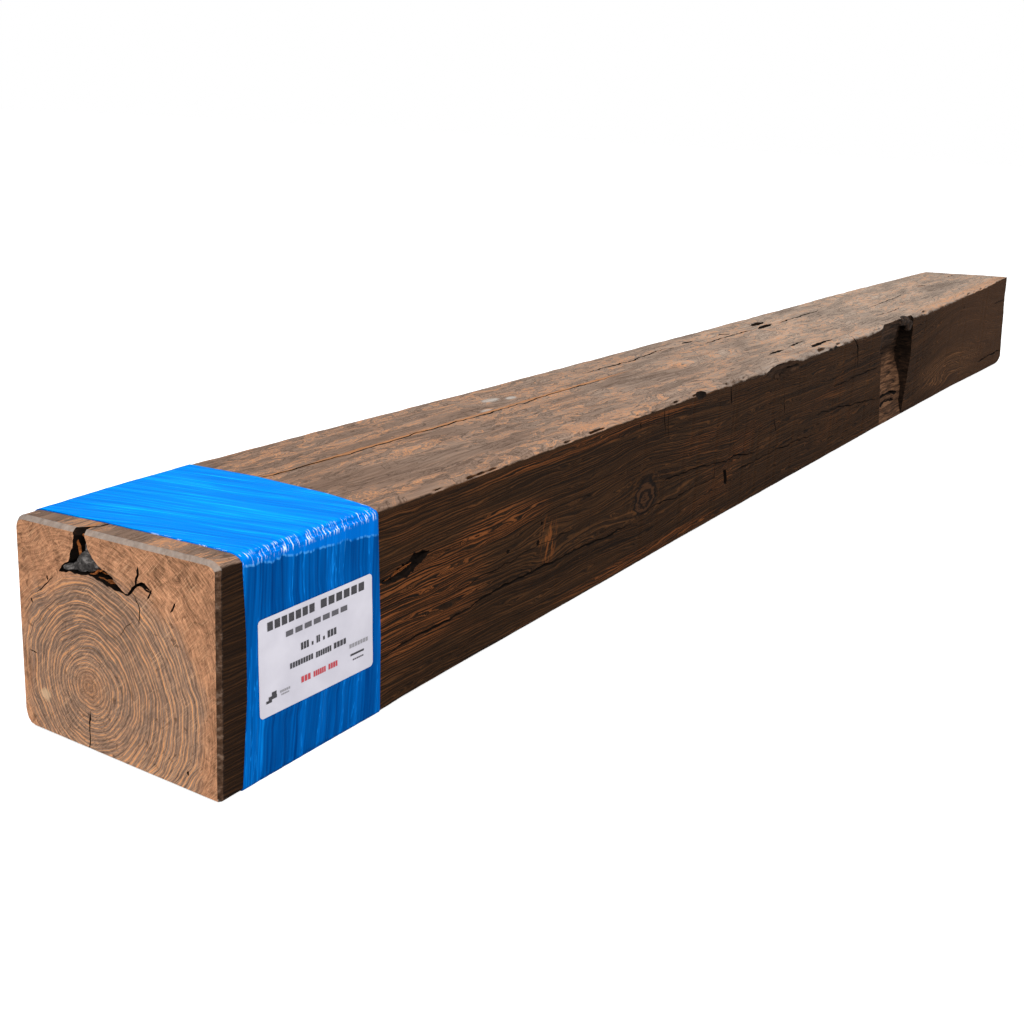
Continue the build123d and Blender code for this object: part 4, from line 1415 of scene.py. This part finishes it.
def dress_film():
    """Stretch film band pulled round the timber, in place of its CAD skin."""
    columns = 92
    share = np.linspace(0, 1, columns)
    ring, out = section_rings(film_start + (film_end - film_start) * share, FILM_STEPS)
    near, far = film_edges(ring)
    y, z = ring[:, :, 0], ring[:, :, 1]
    distance = near[None, :] + (far - near)[None, :] * share[:, None]
    steps = np.hypot(np.diff(y, axis=1, append=y[:, :1]), np.diff(z, axis=1, append=z[:, :1]))
    around = np.cumsum(steps, axis=1)
    lean = distance + 0.10 * around
    flat = np.stack([lean.ravel(), around.ravel(), 0 * around.ravel()], axis=-1)
    crease = noise(flat, (150, 5, 1), 61, 2).reshape(distance.shape)
    wide = noise(flat, (40, 4, 1), 62, 2).reshape(distance.shape)
    crumple = noise(flat, (160, 60, 1), 63, 3).reshape(distance.shape)
    top = smooth(0.75, 0.97, out[:, :, 1])
    bottom = smooth(0.6, 0.95, -out[:, :, 1])
    arris = smooth(0.15, 0.4, out[:, :, 1]) * (1 - top) * (y < 0)
    side = 1 - np.maximum(top, bottom)
    dip = side * 0.0013 * smooth(0.35, 0.75, crease) + side * 0.0012 * wide + top * 0.0005 * crease
    dip += arris * 0.0022 * smooth(0.3, 0.7, crumple)
    flatness = near_label(distance, z) * (y < 0)
    dip = np.minimum(dip, 0.0025) * (1 - flatness) + 0.0004 * flatness
    pulled = smooth(film_start + 0.012, film_start + 0.024, distance)
    pulled = pulled * smooth(film_end - 0.014, film_end - 0.030, distance)
    lift = 0.0003 - dip * pulled
    x = near_x + distance
    points = np.stack([x, y + out[:, :, 0] * lift, z + out[:, :, 1] * lift], axis=-1)
    lip = np.stack([0 * x, -out[:, :, 0], -out[:, :, 1]], axis=-1) * 0.0016
    points = np.concatenate([points[:1] + lip[:1], points, points[-1:] + lip[-1:]])
    faces = ring_faces(columns + 1, ring.shape[1], turned=True)
    film = mesh_object("stretch_film", points.reshape(-1, 3), faces, film_material())
    turn_outwards(film)
    for face in film.data.polygons:
        face.use_smooth = True
    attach(film, "root")
    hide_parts("stretch_wrap")


# Corners of the card from the lower near one round: distance from the near end and height
LABEL_CORNERS = ((0.0490, 0.0589), (0.2111, 0.0555), (0.2063, 0.1505), (0.0461, 0.1507))
LABEL_SIZE = (0.161, 0.0935)
LABEL_THICKNESS = 0.00025
LABEL_OFF_FRONT = 0.00075
# Words of plain blocks on the card: left, right, bottom and top as shares of the card, blocks and ink
LABEL_WORDS = (
    (0.065, 0.475, 0.862, 0.950, 7, 0),
    (0.515, 0.930, 0.862, 0.950, 6, 0),
    (0.212, 0.771, 0.726, 0.782, 7, 1),
    (0.341, 0.415, 0.527, 0.600, 3, 0),
    (0.434, 0.454, 0.527, 0.565, 1, 0),
    (0.477, 0.512, 0.527, 0.600, 2, 0),
    (0.535, 0.555, 0.527, 0.565, 1, 0),
    (0.575, 0.661, 0.527, 0.600, 3, 0),
    (0.246, 0.448, 0.383, 0.440, 9, 0),
    (0.469, 0.612, 0.375, 0.435, 7, 0),
    (0.631, 0.748, 0.378, 0.440, 4, 0),
    (0.339, 0.425, 0.186, 0.250, 3, 2),
    (0.446, 0.558, 0.186, 0.245, 6, 2),
    (0.579, 0.666, 0.186, 0.245, 4, 2),
    (0.045, 0.105, 0.134, 0.162, 1, 0),
    (0.062, 0.150, 0.160, 0.195, 1, 0),
    (0.092, 0.142, 0.193, 0.232, 1, 0),
    (0.162, 0.249, 0.186, 0.210, 5, 3),
    (0.172, 0.240, 0.156, 0.172, 5, 3),
    (0.775, 0.955, 0.302, 0.345, 7, 3),
    (0.769, 0.936, 0.214, 0.236, 1, 0),
    (0.805, 0.910, 0.160, 0.176, 6, 1),
)


def on_label(u, v, proud):
    """Point on the card from shares of its width and height."""
    weights = ((1 - u) * (1 - v), u * (1 - v), u * v, (1 - u) * v)
    distance = sum(w * corner[0] for w, corner in zip(weights, LABEL_CORNERS))
    height = sum(w * corner[1] for w, corner in zip(weights, LABEL_CORNERS))
    wave = 0.00012 * math.sin(u * 9 + v * 4) + 0.0001 * math.sin(v * 13 - u * 3)
    return (near_x + distance, front_at(distance) - LABEL_OFF_FRONT - proud + wave, bed_z + height)


def dress_label():
    """Card label with plain printed blocks, in place of its CAD plate."""
    columns, rows = 40, 34
    corner = 0.0045
    verts = []
    for row in range(rows + 1):
        v = row / rows
        v -= 0.15 * math.sin(2 * math.pi * v)
        edge = min(v, 1 - v) * LABEL_SIZE[1]
        pull = corner - math.sqrt(max(0.0, corner**2 - (corner - edge) ** 2)) if edge < corner else 0.0
        for column in range(columns + 1):
            u = column / columns
            u = pull / LABEL_SIZE[0] + u * (1 - 2 * pull / LABEL_SIZE[0])
            verts.append(on_label(u, v, 0.0))
    faces = []
    for row in range(rows):
        for column in range(columns):
            a = row * (columns + 1) + column
            faces.append((a, a + 1, a + columns + 2, a + columns + 1))
    card = mesh_object("label", verts, faces, label_material())
    with editing(card) as shape:
        bmesh.ops.solidify(shape, geom=shape.faces, thickness=LABEL_THICKNESS)
    turn_outwards(card)
    sharpen(card, 40)
    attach(card, "root")
    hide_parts("label_card")
    inks = (
        ink_material("dark_ink", (34, 32, 34)),
        ink_material("grey_ink", (78, 76, 80)),
        ink_material("red_ink", (192, 48, 58)),
        ink_material("pale_ink", (146, 144, 148)),
    )
    for kind, ink in enumerate(inks):
        verts, faces = [], []
        for left, right, low, high, blocks, wanted in LABEL_WORDS:
            if wanted != kind:
                continue
            pitch = (right - left) / blocks
            for number in range(blocks):
                start = len(verts)
                first = left + pitch * (number + 0.10)
                last = left + pitch * (number + 0.86)
                for u in (first, (first + last) / 2, last):
                    verts.append(on_label(u, low, 0.0003))
                    verts.append(on_label(u, high, 0.0003))
                faces.append((start, start + 2, start + 3, start + 1))
                faces.append((start + 2, start + 4, start + 5, start + 3))
        bars = mesh_object(ink.name + "_blocks", verts, faces, ink)
        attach(bars, "root")


def end_by_ray(g, lighting, seen, kind):
    """Ends a graph with two shaders: one that lights the object and one that the camera sees."""
    ray = g.node("ShaderNodeLightPath", out="Is Camera Ray")
    g.node(kind, (g.node("ShaderNodeMixShader", (ray, lighting, seen)),))


def build_stage():
    """Pale floor and soft light."""
    g = new_graph("studio_floor")
    pale = g.node("ShaderNodeBsdfDiffuse", {"Color": (0.80, 0.80, 0.80, 1.0)})
    glow = g.node("ShaderNodeEmission", {"Strength": 0.62})
    seen = g.node("ShaderNodeAddShader", (pale, glow))
    bounce = g.node("ShaderNodeBsdfDiffuse", {"Color": (0.42, 0.42, 0.42, 1.0)})
    end_by_ray(g, bounce, seen, "ShaderNodeOutputMaterial")
    half = 40.0
    corners = [(-half, -half, 0), (half, -half, 0), (half, half, 0), (-half, half, 0)]
    mesh_object("floor", corners, [(0, 1, 2, 3)], g.owner)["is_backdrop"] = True

    world = bpy.data.worlds.new("studio")
    bpy.context.scene.world = world
    g = Graph(world)
    white = (1.0, 1.0, 1.0, 1.0)
    soft = g.node("ShaderNodeBackground", {"Color": white, "Strength": 0.70})
    seen = g.node("ShaderNodeBackground", {"Color": white, "Strength": 1.0})
    end_by_ray(g, soft, seen, "ShaderNodeOutputWorld")

    lamp("key", (-3.4, -1.7, 1.9), (-1.0, 0.0, 0.1), 1.6, 72)
    lamp("side", (0.9, -3.0, 1.3), (0.6, 0.0, 0.1), 2.2, 42)
    lamp("top_near", (-1.0, 0.5, 2.6), (-0.9, 0.0, 0.1), 1.8, 7)
    lamp("top_far", (1.0, 0.7, 2.6), (0.8, 0.0, 0.1), 1.8, 16)


def lamp(name, place, target, size, watts):
    """Square soft box that looks at a target."""
    data = bpy.data.lights.new(name, "AREA")
    data.size = size
    data.energy = watts
    made = bpy.data.objects.new(name, data)
    made.location = place
    made.rotation_euler = (Vector(target) - Vector(place)).to_track_quat("-Z", "Y").to_euler()
    bpy.context.collection.objects.link(made)


CAMERA_PLACE = (-2.2722, -0.83095, 0.56339)
CAMERA_RIGHT = (0.5162914, -0.85489075, 0.05103912)
CAMERA_UP = (0.21581895, 0.18754891, 0.95825236)
CAMERA_LENS = 46.881


def build_camera():
    """Camera at the photograph's place and angle."""
    data = bpy.data.cameras.new("camera")
    data.lens = CAMERA_LENS
    data.sensor_width = 36.0
    data.sensor_fit = "HORIZONTAL"
    made = bpy.data.objects.new("camera", data)
    right = Vector(CAMERA_RIGHT)
    up = Vector(CAMERA_UP)
    back = right.cross(up)
    matrix = made.matrix_world.copy()
    for row in range(3):
        matrix[row][0] = right[row]
        matrix[row][1] = up[row]
        matrix[row][2] = back[row]
        matrix[row][3] = CAMERA_PLACE[row]
    made.matrix_world = matrix
    bpy.context.collection.objects.link(made)
    bpy.context.scene.camera = made


bpy.context.scene.view_settings.view_transform = "Standard"
build_camera()
build_stage()
dress_timber()
dress_film()
dress_label()

boxes = [[list(map(float, corner)) for corner in box] for box in (cad_box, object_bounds())]
